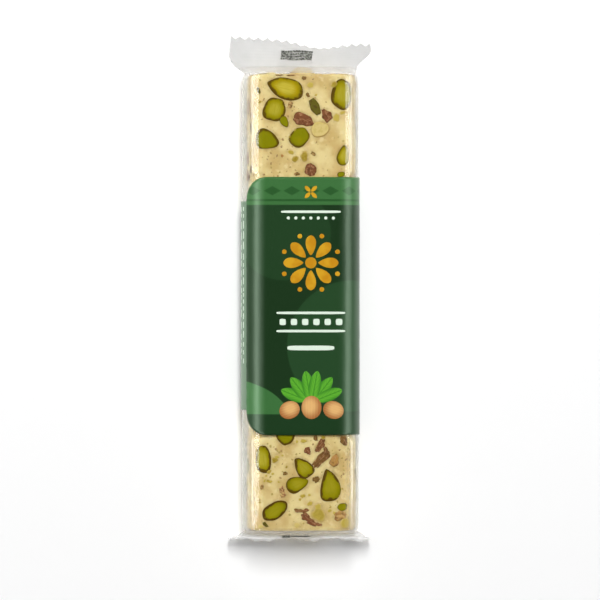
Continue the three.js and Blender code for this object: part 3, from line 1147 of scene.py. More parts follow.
class Mix:
    """All that is in the nougat: cut kernels, brown skins, pale chips and fine crumbs."""

    KERNEL = BitShape(around=48, inner=9, rise=0.16, sunk=0.55, roughness=0.02, ripple=0.03)
    SKIN = BitShape(around=40, inner=8, rise=0.2, sunk=0.5, roughness=0.13, harmonics=9, corners=6)
    CHIP = BitShape(around=24, inner=5, rise=0.13, sunk=0.4, roughness=0.05, harmonics=6)
    CRUMB = BitShape(around=8, inner=2, rise=0.07, sunk=0.25, roughness=0.02, harmonics=3,
                     ripple=0.2)
    LUMP = BitShape(around=40, inner=10, rise=2.4, sunk=0.6, roughness=0.1, dome=3.0)
    # The share of scattered bits on the long faces, and how far in from their ends they stay.
    LONG_FACE_SHARE, END_GAP = 0.9, 1.5
    # Half the front's width, and the stretch along it that the band hides.
    FRONT_HALF, COVERED = 16.3, (-41.0, 38.5)
    # Where bits are tried on an end face, half its flat middle, and the reach round that.
    END_HALF, END_FLAT, END_REACH = (13.5, 5.5), 8.6, 7.2
    # The room left round a bit and round a crumb, and how far the painted shade round a bit fades.
    SPARE, CRUMB_SPARE, HALO = 0.35, 0.05, 0.65

    def __init__(self, nougat: Nougat) -> None:
        """Wraps the nougat's surface, starts the seeded draw and settles what lies where."""
        self.nougat = nougat
        self.wrap = Wrap(nougat.section, nougat.shift)
        self.draw = np.random.default_rng(7)
        self.kernels, self.skins, self.chips = (
            [replace(bit, across=bit.across - nougat.shift) for bit in table]
            for table in (FRONT_KERNELS, FRONT_SKINS, FRONT_CHIPS))
        placed = self.kernels + self.skins + self.chips
        self.kernels += self.scattered(self.KERNEL, 150, (5.0, 9.5), placed, False)
        self.skins += self.scattered(self.SKIN, 90, (1.5, 5.0), placed, False)
        self.chips += self.scattered(self.CHIP, 150, (1.0, 3.2), placed, False)
        self.skins += self.scattered(self.SKIN, 60, (0.7, 1.3), placed, True)
        self.chips += self.scattered(self.CHIP, 80, (0.8, 1.5), placed, True)
        self.crumbs = self.scattered(self.CRUMB, 1900, (0.3, 0.95), placed, True)

    def round_gap(self, gap: Any) -> Any:
        """A distance round the section, taken the short way."""
        return (gap + self.wrap.girth / 2) % self.wrap.girth - self.wrap.girth / 2

    def taken(self, bit: Bit, others: Iterable[Bit], spare: float) -> bool:
        """Whether a bit comes too near any other on its face.

        Args:
            bit: the new bit.
            others: the bits that are there.
            spare: how much room is left between them.

        Returns:
            True if the middles are nearer than the two half lengths, eased, and the spare room.
        """
        for other in others:
            if other.face is bit.face:
                gap = bit.across - other.across
                gap = self.round_gap(gap) if bit.face is Face.LONG else gap
                reach = 0.25 * (bit.length + bit.width + other.length + other.width) + spare
                if math.hypot(gap, bit.along - other.along) < reach:
                    return True
        return False

    def scattered(self, shape: BitShape, count: int, sizes: tuple[float, float],
                  others: list[Bit], front: bool) -> list[Bit]:
        """Bits spread by a seeded draw over what shows, clear of each other.

        Args:
            shape: their kind.
            count: how many are tried.
            sizes: the shortest and the longest.
            others: the bits already placed; the new ones are added to it, but for crumbs.
            front: whether they may lie on the flat front as well.

        Returns:
            The new bits.
        """
        half, round_half, uniform = self.nougat.length / 2, self.wrap.girth / 2, self.draw.uniform
        far, crumb = half - self.END_GAP, shape is self.CRUMB
        spare = self.CRUMB_SPARE if crumb else self.SPARE
        made: list[Bit] = []
        for _ in range(count):
            long_face = self.draw.random() < self.LONG_FACE_SHARE
            length = uniform(*sizes)
            width = length * uniform(0.55, 0.9)
            turn, taper, tone = uniform(0, 360), uniform(0.0, 0.4), self.draw.random()
            if long_face:
                across, along = uniform(-round_half, round_half), uniform(-far, far)
                face = Face.LONG
            else:
                across, along = (uniform(-size, size) for size in self.END_HALF)
                face = Face.TOP_END if self.draw.random() < 0.5 else Face.BOTTOM_END
            bit = Bit(across, along, length, width, turn, taper, shape.ripple, square=2.3,
                      tone=tone, skin=tone, face=face)
            edge = 0.3 if crumb else 0.5 * length
            if long_face:
                on_front = abs(across) - (0.0 if crumb else edge) < self.FRONT_HALF
                covered = self.COVERED[0] < along < self.COVERED[1]
                hidden = covered or abs(along) > half - edge or (on_front and not front)
            else:
                hidden = max(abs(across) - self.END_FLAT, abs(along)) + edge > self.END_REACH
            if not hidden and not self.taken(bit, others, spare):
                made.append(bit)
                others += [] if crumb else [bit]
        return made

    def on_face(self, bit: Bit, p: Array, q: Array, height: Array) -> Array:
        """Points over a bit's face, from its own two directions and a height.

        Args:
            bit: the bit.
            p: distances along its length.
            q: distances along its width.
            height: heights over the nougat.

        Returns:
            The points, turned by the bit's turn and laid on the long faces or an end face.
        """
        across, along = turned(p, q, bit.turn)
        across, along = bit.across + across, bit.along + along
        half = self.nougat.length / 2
        if bit.face is Face.LONG:
            near = np.clip(along, -half + 0.3, half - 0.3)
            relief = self.nougat.relief(self.wrap.place(across, near, 0.0))
            return self.wrap.place(across, near, height + relief)
        side = 1.0 if bit.face is Face.TOP_END else -1.0
        return np.stack([-side * across, side * (half + height), MIDDLE_Z + along], axis=-1)

    def bit_patch(self, bit: Bit, shape: BitShape) -> Patch:
        """A closed, low dome with an uneven outline, sunk into the nougat.

        Args:
            bit: its place and size.
            shape: how finely it is modelled.

        Returns:
            Rings from its underside's middle out to its rim and over its top to the middle. The
            outline is a tapered superellipse with a few random waves round it. It holds how near
            the rim each point is, the bit's tone and skin, and places along and across it.
        """
        angles = np.linspace(0.0, TURN, shape.around, endpoint=False)
        base = superellipse(angles, bit.square)
        wave = np.ones_like(angles)
        for order in range(2, 2 + shape.harmonics):
            phase = self.draw.uniform(0, TURN)
            size = bit.ripple * self.draw.uniform(0.3, 1.0) * (2.0 / order) ** 0.5
            wave = wave + size * np.sin(order * angles + phase)
        thick_side = self.draw.uniform(0, TURN)
        if bit.thick is not None:
            thick_side = math.radians(bit.thick - bit.turn)
        if shape.corners:
            wave = wave * lerp(1.0, polygon(angles + thick_side, shape.corners), 0.7)
        slim = np.abs(np.sin(angles)) ** (np.where(base[:, 0] > 0.0, bit.point, bit.tail) - 1.0)
        p = base[:, 0] * wave * bit.length / 2
        q = base[:, 1] * slim * wave * bit.width / 2 * (1.0 - bit.taper * base[:, 0])
        q = q + bit.bend * (base[:, 0] ** 2 - 0.35)
        steps = [(0.45, -shape.sunk), (0.97, -shape.sunk), (1.0, -0.05)]
        steps += [(0.995 * share, shape.rise * (1.0 - share**shape.dome) + 0.02)
                  for share in np.linspace(1.0, 0.12, shape.inner)]
        rings, rims = [], []
        for share, height in steps:
            spot = np.stack([p * share * 3.0 + bit.across * 7.0, q * share * 3.0 + bit.along * 5.0,
                             np.full_like(p, bit.tone * 50.0)], axis=-1)
            rough = shape.roughness * smooth_noise(31, spot, 2.1) * (1.0 - share**4)
            rings.append(self.on_face(bit, p * share, q * share, height + rough))
            # The rim reaches further on one side, so the dark skin is wider there; on the listed
            # kernels this is partly a thicker skin, partly a painted shadow.
            rims.append(share * (1.0 + 0.08 * np.cos(angles - thick_side)))
        patch = capped_tube(np.array(rings))
        count = len(patch.points)
        patch.values = {"rim": np.concatenate([*rims, [0.45, 0.0]]),
                        "tone": np.full(count, bit.tone), "skin": np.full(count, bit.skin)}
        shares = [share for share, _ in steps]
        local = np.stack([np.outer(shares, p), np.outer(shares, q)], axis=-1).reshape(-1, 2)
        patch.uv = np.concatenate([local, np.zeros((2, 2))]) / BIT_MAP_MM + 0.5
        return patch

    def nearness(self, around: Array, along: Array) -> Array:
        """How near the larger bits some places on the long faces are.

        Args:
            around: distances round the nougat's section from the middle of its front.
            along: distances along it.

        Returns:
            The strongest painted shade of the bits: a bell that fades over half a millimetre
            outside each bit's ellipse.
        """
        strongest = np.zeros(around.shape)
        for bit in self.kernels + self.skins + self.chips:
            if bit.face is Face.LONG:
                p, q = turned(self.round_gap(around - bit.across), along - bit.along, -bit.turn)
                outside = np.hypot(p / (bit.length / 2), q / (bit.width / 2)) - 0.95
                outside = np.maximum(outside, 0.0) * (bit.length + bit.width) / 4
                # Painted shade round this bit: strongest at its edge and for the larger bits.
                painted_shade_halo = min(1.0, bit.length / 4.0) * np.exp(-((outside / self.HALO) ** 2))
                strongest = np.maximum(strongest, painted_shade_halo)
        return strongest

    def build(self, shop: Workshop) -> None:
        """Makes one piece for each kind of bit, and lumps of nougat on the top end."""
        for name, kind, shape, finish in (
            ("cut_kernels", self.kernels, self.KERNEL, KernelFinish()),
            ("nut_skins", self.skins, self.SKIN, SkinFinish()),
            ("pale_chips", self.chips, self.CHIP, ChipFinish()),
            ("crumbs", self.crumbs, self.CRUMB, CrumbFinish()),
        ):
            LOG.info("%s: %d bits", name, len(kind))
            patch = Patch.joined([self.bit_patch(bit, shape) for bit in kind])
            shop.food_piece(name, patch, finish.material(), "wrapped_bar")
        lumps = ((Bit(-0.6, 0.3, 8.4, 3.6, 2.0, 0.1, 0.08, face=Face.TOP_END), self.LUMP),
                 (Bit(9.8, 4.4, 3.8, 2.6, -4.0, 0.2, 0.1, face=Face.TOP_END),
                  replace(self.LUMP, rise=0.8)))
        patch = Patch.joined([self.bit_patch(*lump) for lump in lumps])
        shop.food_piece("end_lump", patch, NougatFinish().material(), "wrapped_bar")


# ---- The printed band ----


class Ink(Enum):
    """The inks of the raised print."""

    GOLD = "gold"
    CREAM = "cream"
    LEAF = "leaf"
    NUT = "nut"


@dataclass(frozen=True)
class Mark:
    """A printed shape on the band's front, in millimetres and degrees."""

    ink: Ink
    across: float
    along: float
    length: float
    width: float
    turn: float = 0.0
    taper: float = 0.0
    square: float = 2.0
    point: float = 1.0


def ring_of(x: float, y: float, reach: float, angles: Iterable[float]) -> list[tuple[float, ...]]:
    """Places on a circle, and the angle of each, from angles in degrees."""
    return [(x + reach * math.cos(math.radians(a)), y + reach * math.sin(math.radians(a)), a)
            for a in angles]


class Band:
    """The printed band: a strip that laps over its own tab on the left, and its raised print."""

    MIDDLE = 2.6
    MAP_MM = 200.0

    def __init__(self) -> None:
        """Measures the route round the bag."""
        self.sizes = BandSizes()
        self.wrap = Wrap(BAND_SECTION)
        self.length = self.wrap.girth + self.sizes.overlap
        self.front_middle = self.wrap.girth / 4 - self.sizes.lap_start
        self.columns = 360
        self.rows = 96

    def edge(self, distance: Array, full: float, tab: float) -> Array:
        """Y of one long edge of the strip.

        Args:
            distance: distances from the strip's front end.
            full: Y of the edge on the front.
            tab: Y of the edge on the tab.

        Returns:
            A quarter ellipse up to the full edge at the front end, and a smooth step in to the
            tab near the other.
        """
        sizes = self.sizes
        reach = np.clip(distance / sizes.corner_across, 0.0, 1.0)
        rounding = sizes.corner_along * (1.0 - np.sqrt(1.0 - (1.0 - reach) ** 2))
        start = self.length - sizes.tab_width
        to_tab = smoothstep(distance, start, start + sizes.tab_fade)
        return lerp(full - np.sign(full) * rounding, tab, to_tab)

    def surface(self, distance: Array, along: Array, offset: Array | float) -> Array:
        """Points over the bag at a distance from the strip's front end and an offset."""
        around = distance + self.sizes.lap_start - self.wrap.girth / 4
        return self.wrap.place(around, along, offset)

    def front_offset(self, distance: Array) -> Array:
        """The strip's inner face over the bag: lifted by one layer where it laps over the tab."""
        sizes = self.sizes
        lift = 1.0 - smoothstep(distance, sizes.layer_end, sizes.layer_end + sizes.layer_fade)
        return sizes.clearance + lift * (sizes.thickness + sizes.layer_gap)

    def sheet(self) -> Patch:
        """The strip: rings across it, each up its outer face and down its inner face."""
        distance = np.linspace(0.0, self.length, self.columns + 1)
        top = self.edge(distance, self.sizes.top, self.sizes.tab_top)[:, None]
        bottom = self.edge(distance, self.sizes.bottom, self.sizes.tab_bottom)[:, None]
        along = lerp(bottom, top, np.linspace(0.0, 1.0, self.rows + 1))
        span = np.broadcast_to(distance[:, None], along.shape)
        spot = np.stack([span, along, np.zeros_like(along)], axis=-1)
        wavy = 0.018 * smooth_noise(41, spot, 5.0) + 0.01 * smooth_noise(42, spot, 1.6)
        inset = self.front_offset(distance)[:, None]
        outer = self.surface(span, along, inset + self.sizes.thickness + wavy - 0.028)
        inner = self.surface(span, along, inset + 0.02)
        patch = capped_tube(np.concatenate([outer[:, ::-1], inner], axis=1))
        flat = np.stack([span - self.front_middle, along], axis=-1)
        both = np.concatenate([flat[:, ::-1], flat], axis=1).reshape(-1, 2)
        patch.uv = np.concatenate([both, both[:1], both[-1:]]) / self.MAP_MM + 0.5
        return patch

    def marks(self) -> list[Mark]:
        """The print: a rosette, rules and beads, and a fan of leaves and nuts."""
        return self.rosette() + self.rules() + self.tab_dashes() + self.fan()

    def rosette(self) -> list[Mark]:
        """A gold rosette of petals and beads, and a small four-petal flower over it."""
        x, y, gold = self.MIDDLE, 12.6, Ink.GOLD
        made = [Mark(gold, x, y, 3.6, 3.6)]
        petals = ring_of(x, y, 5.6, range(0, 360, 45))
        beads = ring_of(x, y, 9.2, np.arange(22.5, 360.0, 45.0))
        for (px, py, turn), (bx, by, _) in zip(petals, beads):
            made.append(Mark(gold, px, py, 6.4, 3.2, turn=turn, taper=-0.35, point=1.25))
            made.append(Mark(gold, bx, by, 1.5, 1.5))
        made += [Mark(gold, px, py, 2.4, 1.2, turn=turn, point=1.2)
                 for px, py, turn in ring_of(x, 35.2, 1.45, range(45, 360, 90))]
        return made

    def rules(self) -> list[Mark]:
        """Cream rules and rows of beads."""
        x, cream = self.MIDDLE, Ink.CREAM
        made = [Mark(cream, x, 28.9, 19.0, 0.8, square=6.0)]
        made += [Mark(cream, x - 7.2 + 2.4 * i, 26.9, 1.0, 1.0) for i in range(7)]
        made += [Mark(cream, x, level, 22.0, 0.8, square=6.0) for level in (-3.4, -9.2)]
        made += [Mark(cream, x - 9.0 + 3.6 * i, -6.3, 2.5, 2.5, turn=45.0, square=1.25)
                 for i in range(6)]
        return made + [Mark(cream, x, -14.6, 15.0, 1.5, square=5.0)]

    def tab_dashes(self) -> list[Mark]:
        """Two columns of pale dashes on the tab, beside the strip's front end."""
        made = []
        uniform = np.random.default_rng(60).uniform
        for column in range(2):
            across, end = -self.wrap.girth / 4 + 1.4 + 1.8 * column, 30.5
            while end > -18.5:
                length = uniform(1.2, 2.6)
                made.append(Mark(Ink.CREAM, across, end - length / 2, length, 0.34, turn=90.0,
                                 square=4.0))
                end -= length + uniform(0.4, 1.4)
        return made

    def fan(self) -> list[Mark]:
        """Leaves in an arch over a row of round nuts."""
        x, y = 2.8, -31.0
        made = []
        for turn, length in ((158, 9.0), (128, 9.5), (100, 10.0), (80, 10.0), (52, 9.5), (22, 9.0)):
            across, up = math.cos(math.radians(turn)), math.sin(math.radians(turn))
            made.append(Mark(Ink.LEAF, x + 6.0 * across, y + 4.6 * up - 0.4, length, 3.9,
                             turn=turn, point=1.35))
        made += [Mark(Ink.NUT, x + side * 7.0, y - 3.4, 6.6, 5.6, turn=-20 * side)
                 for side in (-1, 1)]
        return made + [Mark(Ink.NUT, x, y - 2.6, 7.4, 6.4, turn=90)]

    def mark_patch(self, mark: Mark, level: int) -> Patch:
        """A thin closed shape that lies on the band's outer face.

        Args:
            mark: its ink, place and size.
            level: its place in the print's order, so that later shapes lie over earlier ones.

        Returns:
            Rings from its underside over its rim to its middle. Where the mark's point is over
            1, the outline is drawn to points at its two ends.
        """
        large = mark.length > 2.0
        angles = np.linspace(0.0, TURN, 64 if large else 20, endpoint=False)
        base = superellipse(angles, mark.square)
        slim = np.abs(base[:, 1]) ** (mark.point - 1.0)
        p = base[:, 0] * mark.length / 2
        q = base[:, 1] * slim * mark.width / 2 * (1.0 - mark.taper * base[:, 0])
        across, up = turned(p, q, mark.turn)
        face = self.sizes.thickness + 0.004 * level
        rings, places = [], []
        steps = [(0.5, -0.09), (1.0, -0.09), (1.0, 0.012)]
        steps += [(share, 0.02) for share in np.linspace(0.97, 0.15, 12 if large else 3)]
        for share, lift in steps:
            distance = mark.across + across * share + self.front_middle
            distance = np.where(distance < 0.0, distance + self.wrap.girth, distance)
            offset = self.front_offset(distance) + face + lift
            rings.append(self.surface(distance, mark.along + up * share, offset))
            places.append(np.stack([p / mark.length, q / mark.width], axis=-1) * share + 0.5)
        patch = capped_tube(np.array(rings))
        patch.uv = np.concatenate([*places, [[0.5, 0.5]] * 2])
        return patch

    def build(self, shop: Workshop) -> None:
        """Makes the strip and one piece for each ink."""
        sheet, printed = self.sheet(), BandFinish().material()
        shop.food_piece("printed_band", sheet, printed, "label_band")
        marks = self.marks()
        for ink, finish in ((Ink.GOLD, GoldFinish()), (Ink.CREAM, CreamFinish()),
                            (Ink.LEAF, LeafFinish()), (Ink.NUT, NutFinish())):
            above = 4 if ink is Ink.NUT else 0
            shapes = [mark for mark in marks if mark.ink is ink]
            patch = Patch.joined([self.mark_patch(m, above + i % 4) for i, m in enumerate(shapes)])
            shop.food_piece(f"print_{ink.value}", patch, finish.material(), "label_band")


# ---- Finishes ----


@dataclass(frozen=True)
class FilmFinish:
    """Clear plastic film: a slight haze and a gloss on the body, milky where it is crimped."""

    name: str = "clear_film"
    tint: Colour = (0.68, 0.69, 0.66)
    seal_tint: Colour = (0.54, 0.54, 0.53)
    body_haze: float = 0.002
    edge_haze: float = 0.16
    side_haze: float = 0.32
    crimp_haze: float = 0.44
    facing_gloss: float = 0.062
    edge_gloss: float = 0.45
    roughness: float = 0.13

    def material(self) -> Material:
        """Transparent mixed with a shader that is part milky and part mirror.

        Returns:
            The material. The mirror's share rises as Schlick's does, by the fifth power of how
            edge-on the film is seen, but its wrinkles keep it low, and there is no rise where it
            is crimped.
        """
        shade = Shade(self.name)
        crimp, side = shade.held("crimp"), shade.held("side")
        edge_on = Value(shade, shade.node("LayerWeight", None, {"Blend": 0.5}).outputs["Facing"])
        mirror = self.facing_gloss + self.edge_gloss * edge_on**5.0 * crimp.fall(0.0, 0.1)
        cloudy = shade.noise(9.0, 2.0, 3.0) - 0.5
        veins = shade.noise(1.6, 3.0, 6.0, 0.6) - 0.5
        haze = self.body_haze + self.edge_haze * edge_on**2.0
        haze = haze + (self.crimp_haze + 0.2 * cloudy) * crimp.rise(0.0, 0.7)
        haze = haze + (self.side_haze + 0.5 * cloudy + 0.25 * veins) * side
        share = (haze + mirror).least(1.0)
        wrinkle = shade.noise(2.5, 3.0, 1.0) + 0.3 * shade.noise(0.5, 2.0, 2.0)
        milky = shade.principled(
            Base_Color=shade.blend(crimp.rise(0.0, 0.12), self.tint, self.seal_tint),
            Metallic=(mirror / share),
            Roughness=self.roughness,
            Subsurface_Weight=1.0,
            Subsurface_Radius=(1.0, 1.0, 1.0),
            Subsurface_Scale=1.2 * MM,
            Normal=shade.bump(wrinkle, 0.04),
        )
        clear = shade.node("BsdfTransparent").outputs[0]
        mix = shade.node("MixShader", None, {0: share, 1: clear, 2: milky})
        return shade.finish(mix.outputs[0])


@dataclass(frozen=True)
class NougatFinish:
    """Cream nougat, cut: cloudy in tone, with painted shade round the nuts, fine flecks and pores.
    """

    cream: Colour = shown(208, 181, 116)
    pale: Colour = shown(231, 213, 152)
    warm: Colour = shown(207, 172, 112)
    stain: Colour = shown(194, 164, 96)
    milk: Colour = shown(242, 227, 174)
    # The colour of the painted shade round the nuts.
    shade: Colour = shown(164, 134, 72)
    fleck: Colour = shown(132, 104, 48)

    def material(self) -> Material:
        """Three creams blended by clouds, with painted shade round the nuts, flecks and a fine
        bump.
        """
        shade = Shade("cream_nougat")
        stain = shade.noise(2.2, 3.0, 8.0, 0.6)
        # Painted shade: darker cream round each nut, standing for the shade at its edge.
        painted_shade_halo = shade.held("near") * shade.noise(1.6, 3.0, 11.0, 0.6).rise(0.3, 0.7)
        colour = self.cream
        for share, tone in (
            (shade.noise(7.0, 3.0, 0.0).rise(0.35, 0.62), self.pale),
            (shade.noise(5.0, 2.0, 5.0).rise(0.5, 0.72) * 0.45, self.warm),
            (stain.rise(0.55, 0.72) * 0.28, self.stain),
            (stain.fall(0.3, 0.44) * 0.5, self.milk),
            (painted_shade_halo * 0.75, self.shade),
            (shade.noise(0.55, 2.0, 9.0).rise(0.66, 0.74) * 0.5, self.fleck),
        ):
            colour = shade.blend(share, colour, tone)
        height = shade.noise(0.8, 3.0, 2.0) + shade.noise(0.25, 2.0, 7.0) * 0.4
        return shade.coat(
            Base_Color=colour,
            Roughness=0.55,
            Subsurface_Weight=0.35,
            Subsurface_Radius=(1.0, 0.8, 0.45),
            Subsurface_Scale=1.6 * MM,
            Normal=shade.bump(height, 0.09, 0.6),
        )


@dataclass(frozen=True)
class KernelFinish:
    """A cut pistachio: yellow-green inside, greener outwards, with a dark brown skin. Its lighter
    middle is partly a painted highlight and its darker edge partly painted shade.
    """

    # The lighter middle: partly the kernel's paler core, partly a painted highlight.
    ridge: Colour = shown(214, 200, 82)
    gold: Colour = shown(180, 154, 8)
    olive: Colour = shown(152, 142, 3)
    green: Colour = shown(132, 130, 2)
    # The darker flesh near the rim: partly its own colour, partly painted shade.
    deep: Colour = shown(108, 96, 3)
    skin: Colour = shown(86, 62, 12)

    def material(self) -> Material:
        """Colours by how near the rim a point is, with streaks along the kernel.

        Returns:
            The material: the skin's thickness changes round the rim with noise, and the flesh
            darkens towards it, partly as painted shade where the cut slopes down to the skin.
        """
        shade = Shade("cut_kernel")
        rim, tone, skin = shade.held("rim"), shade.held("tone"), shade.held("skin")
        blotch = shade.noise(2.2, 3.0, 4.0) - 0.5
        ripe = tone + blotch * 0.7
        flesh = shade.blend(ripe.rise(0.05, 0.5), self.green, self.olive)
        flesh = shade.blend(ripe.rise(0.5, 1.05), flesh, self.gold)
        # A lighter streaked middle: partly the kernel's paler core, partly a painted highlight
        # along it.
        streak = 0.6 + 1.6 * (shade.streaks(0.3, 4.0) - 0.35)
        centre = rim.fall(0.3, 0.72) * (tone - 0.2) * streak
        flesh = shade.blend(centre.clamped(), flesh, self.ridge)
        # Darker towards the rim: partly the flesh's own colour, partly painted shade where the cut
        # slopes to the skin.
        flesh = shade.blend(rim.rise(0.62, 0.95) * (0.7 + 0.5 * blotch), flesh, self.deep)
        width = (0.1 + 0.13 * skin) * (shade.noise(2.0, 1.0, 6.0).rise(0.3, 0.7) + 0.5)
        edge = rim + (shade.noise(0.6, 2.0, 8.0) - 0.5) * 0.16
        inside = ((edge - 0.98 + width) / 0.1).clamped()
        colour = shade.blend(inside * (0.6 + 0.4 * skin), flesh, self.skin)
        return shade.coat(Base_Color=colour, Roughness=0.5, Specular_IOR_Level=0.05,
                          Normal=shade.bump(shade.noise(0.4, 2.0, 8.0), 0.03, 0.5))


@dataclass(frozen=True)
class SkinFinish:
    """Nut skins: dark green, grey-brown, purplish brown or tan, streaked and mottled; the pale
    streaks and mottles are partly painted highlights.
    """

    green: Colour = shown(100, 92, 26)
    brown: Colour = shown(116, 88, 38)
    purple: Colour = shown(124, 76, 46)
    tan: Colour = shown(180, 136, 70)
    # Pale streaks and mottles: partly the skin's own colour, partly painted highlights.
    pale: Colour = shown(198, 148, 106)
    dark: Colour = shown(74, 46, 22)

    def material(self) -> Material:
        """One of the four skins by the bit's tone, streaked and mottled, partly as painted
        highlights, with nougat over it.
        """
        shade = Shade("nut_skin")
        rim, tone, skin = shade.held("rim"), shade.held("tone"), shade.held("skin")
        # Pale mottles and streaks along the skin: partly its own colour, partly painted highlights.
        mottle = shade.noise(1.0, 3.0, 3.0, 0.6).rise(0.5, 0.68) * 0.45
        pale = (mottle + shade.streaks(0.45, 2.5).rise(0.55, 0.7) * 0.6).least(0.8)
        bare = (shade.noise(0.8, 2.0, 12.0, 0.6) - 0.12 - skin * 0.6).rise(-0.02, 0.2)
        colour = self.green
        for share, tint in (
            (tone.rise(0.08, 0.3), self.brown),
            (tone.rise(0.35, 0.7), self.purple),
            (tone.rise(0.86, 1.0), self.tan),
            (pale * tone.rise(0.1, 0.5), self.pale),
            (shade.noise(1.2, 2.0, 9.0).fall(0.36, 0.5) * 0.5, self.dark),
            (rim.rise(0.85, 1.05) * 0.45, self.dark),
            (bare * 0.85, NougatFinish.warm),
        ):
            colour = shade.blend(share, colour, tint)
        return shade.coat(Base_Color=colour, Roughness=0.6, Specular_IOR_Level=0.15,
                          Normal=shade.bump(shade.noise(0.45, 3.0, 1.0), 0.1, 0.8))


@dataclass(frozen=True)
class ChipFinish:
    """Chips of kernel and cream nut: from the nougat's cream to olive, soft at the rim."""

    cream: Colour = shown(216, 194, 124)
    outline: Colour = shown(178, 146, 78)
    pale: Colour = shown(194, 172, 72)
    olive: Colour = shown(150, 126, 22)

    def material(self) -> Material:
        """A colour by the chip's tone, fading to the nougat's cream at its rim."""
        shade = Shade("pale_chip")
        rim, tone = shade.held("rim"), shade.held("tone")
        body = shade.blend(tone.rise(0.05, 0.3), self.cream, self.pale)
        body = shade.blend(tone.rise(0.35, 0.85), body, self.olive)
        body = shade.blend(shade.noise(0.9, 2.0, 2.0).rise(0.4, 0.65) * 0.45, body, self.pale)
        toned = tone.rise(0.02, 0.1)
        colour = shade.blend(rim.rise(0.84, 0.97), body, shade.blend(toned, self.outline, body))
        colour = shade.blend(rim.rise(0.6, 1.0) * toned * 0.6, colour, NougatFinish.cream)
        return shade.coat(Base_Color=colour, Roughness=0.5,
                          Normal=shade.bump(shade.noise(0.4, 2.0, 5.0), 0.05, 0.6))


@dataclass(frozen=True)
class CrumbFinish:
    """Fine crumbs of nut and skin."""

    olive: Colour = shown(174, 154, 74)
    brown: Colour = shown(156, 122, 72)

    def material(self) -> Material:
        """Olive or brown by the crumb's tone."""
        shade = Shade("crumb")
        colour = shade.blend(shade.held("tone").rise(0.4, 0.7), self.olive, self.brown)
        colour = shade.blend(shade.noise(0.3, 1.0, 1.0) * 0.5, colour, NougatFinish.cream)
        return shade.coat(Base_Color=colour, Roughness=0.6)


@dataclass(frozen=True)
class BandFinish:
    """Dark green satin print with fields of lighter green."""

    dark: Colour = shown(22, 50, 22)
    soft: Colour = shown(36, 72, 38)
    light: Colour = shown(58, 110, 56)
    diamond: Colour = shown(34, 82, 34)
    foot: Colour = shown(24, 56, 26)
    tab: Colour = shown(104, 128, 104)
    tab_from: float = 66.0

    def material(self) -> Material:
        """Fields of colour, drawn in millimetres across and along the band's front.

        Returns:
            The material: a light field along the top with a row of diamonds and a line, two soft
            discs on the dark ground, a light disc low on the left, and a darker foot.
        """
        shade = Shade("printed_band")
        x, y = ((part - 0.5) * Band.MAP_MM for part in shade.across_up())

        def disc(centre_x: float, centre_y: float, radius: float) -> Value:
            """1 inside a circle and 0 outside it."""
            gap_x, gap_y = x - centre_x, y - centre_y
            return ((gap_x * gap_x + gap_y * gap_y) ** 0.5).fall(radius - 0.15, radius + 0.15)

        column = abs((x + 50.0).remainder(6.2) - 3.1)
        diamonds = (column * 0.55 + abs(y - 35.6)).fall(1.35, 1.6)
        line = abs(y - 32.6).fall(0.25, 0.45)
        top = shade.blend((diamonds + line).least(1.0) * 0.85, self.light, self.diamond)
        colour = self.dark
        for share, tone in (
            (disc(16.0, -14.0, 21.0) * 0.8, self.soft),
            (disc(-6.0, 22.0, 15.0) * 0.45, self.soft),
            (disc(-22.0, -46.0, 21.0), self.light),
            (y.rise(30.9, 31.3), top),
            (y.fall(-35.9, -35.6), self.foot),
            (x.rise(self.tab_from, self.tab_from + 0.5), self.tab),
        ):
            colour = shade.blend(share, colour, tone)
        return shade.coat(
            Base_Color=colour,
            Roughness=0.34,
            Specular_IOR_Level=1.0,
            Specular_Tint=(0.78, 1.0, 0.78, 1.0),
            Normal=shade.bump(shade.noise(0.35, 2.0, 1.0), 0.005, 0.5),
        )


@dataclass(frozen=True)
class GoldFinish:
    """Gold ink: ochre that runs from yellow to orange."""

    yellow: Colour = shown(222, 168, 34)
    orange: Colour = shown(208, 144, 18)

    def material(self) -> Material:
        """Two ochres blended by clouds, a little metallic."""
        shade = Shade("gold_ink")
        colour = shade.blend(shade.noise(5.0, 2.0, 1.0).rise(0.4, 0.62), self.yellow, self.orange)
        return shade.coat(Base_Color=colour, Metallic=0.15, Roughness=0.36,
                          Normal=shade.bump(shade.noise(0.4, 2.0, 2.0), 0.012, 0.5))


@dataclass(frozen=True)
class CreamFinish:
    """Pale ink."""

    pale: Colour = shown(226, 240, 224)
    grey: Colour = shown(206, 228, 206)

    def material(self) -> Material:
        """An even pale ink with a faint grain."""
        shade = Shade("cream_ink")
        colour = shade.blend(shade.noise(1.5, 2.0, 1.0) * 0.4, self.pale, self.grey)
        return shade.coat(Base_Color=colour, Roughness=0.4)


@dataclass(frozen=True)
class LeafFinish:
    """Printed leaves: bright green with a midrib and side veins."""

    bright: Colour = shown(92, 172, 44)
    deep: Colour = shown(28, 110, 24)

    def material(self) -> Material:
        """Deep green at the midrib, the veins and the leaf's edge."""
        shade = Shade("leaf_print")
        u, v = shade.across_up()
        side = abs(v - 0.5)
        veins = (u * 40.0 - side * 30.0).sine().rise(0.55, 1.0) * 0.45
        colour = shade.blend(side.rise(0.15, 0.5) * 0.7, self.bright, self.deep)
        ribs = (side.fall(0.02, 0.06) + veins).least(1.0) * 0.6
        return shade.coat(Base_Color=shade.blend(ribs, colour, self.deep), Roughness=0.38)


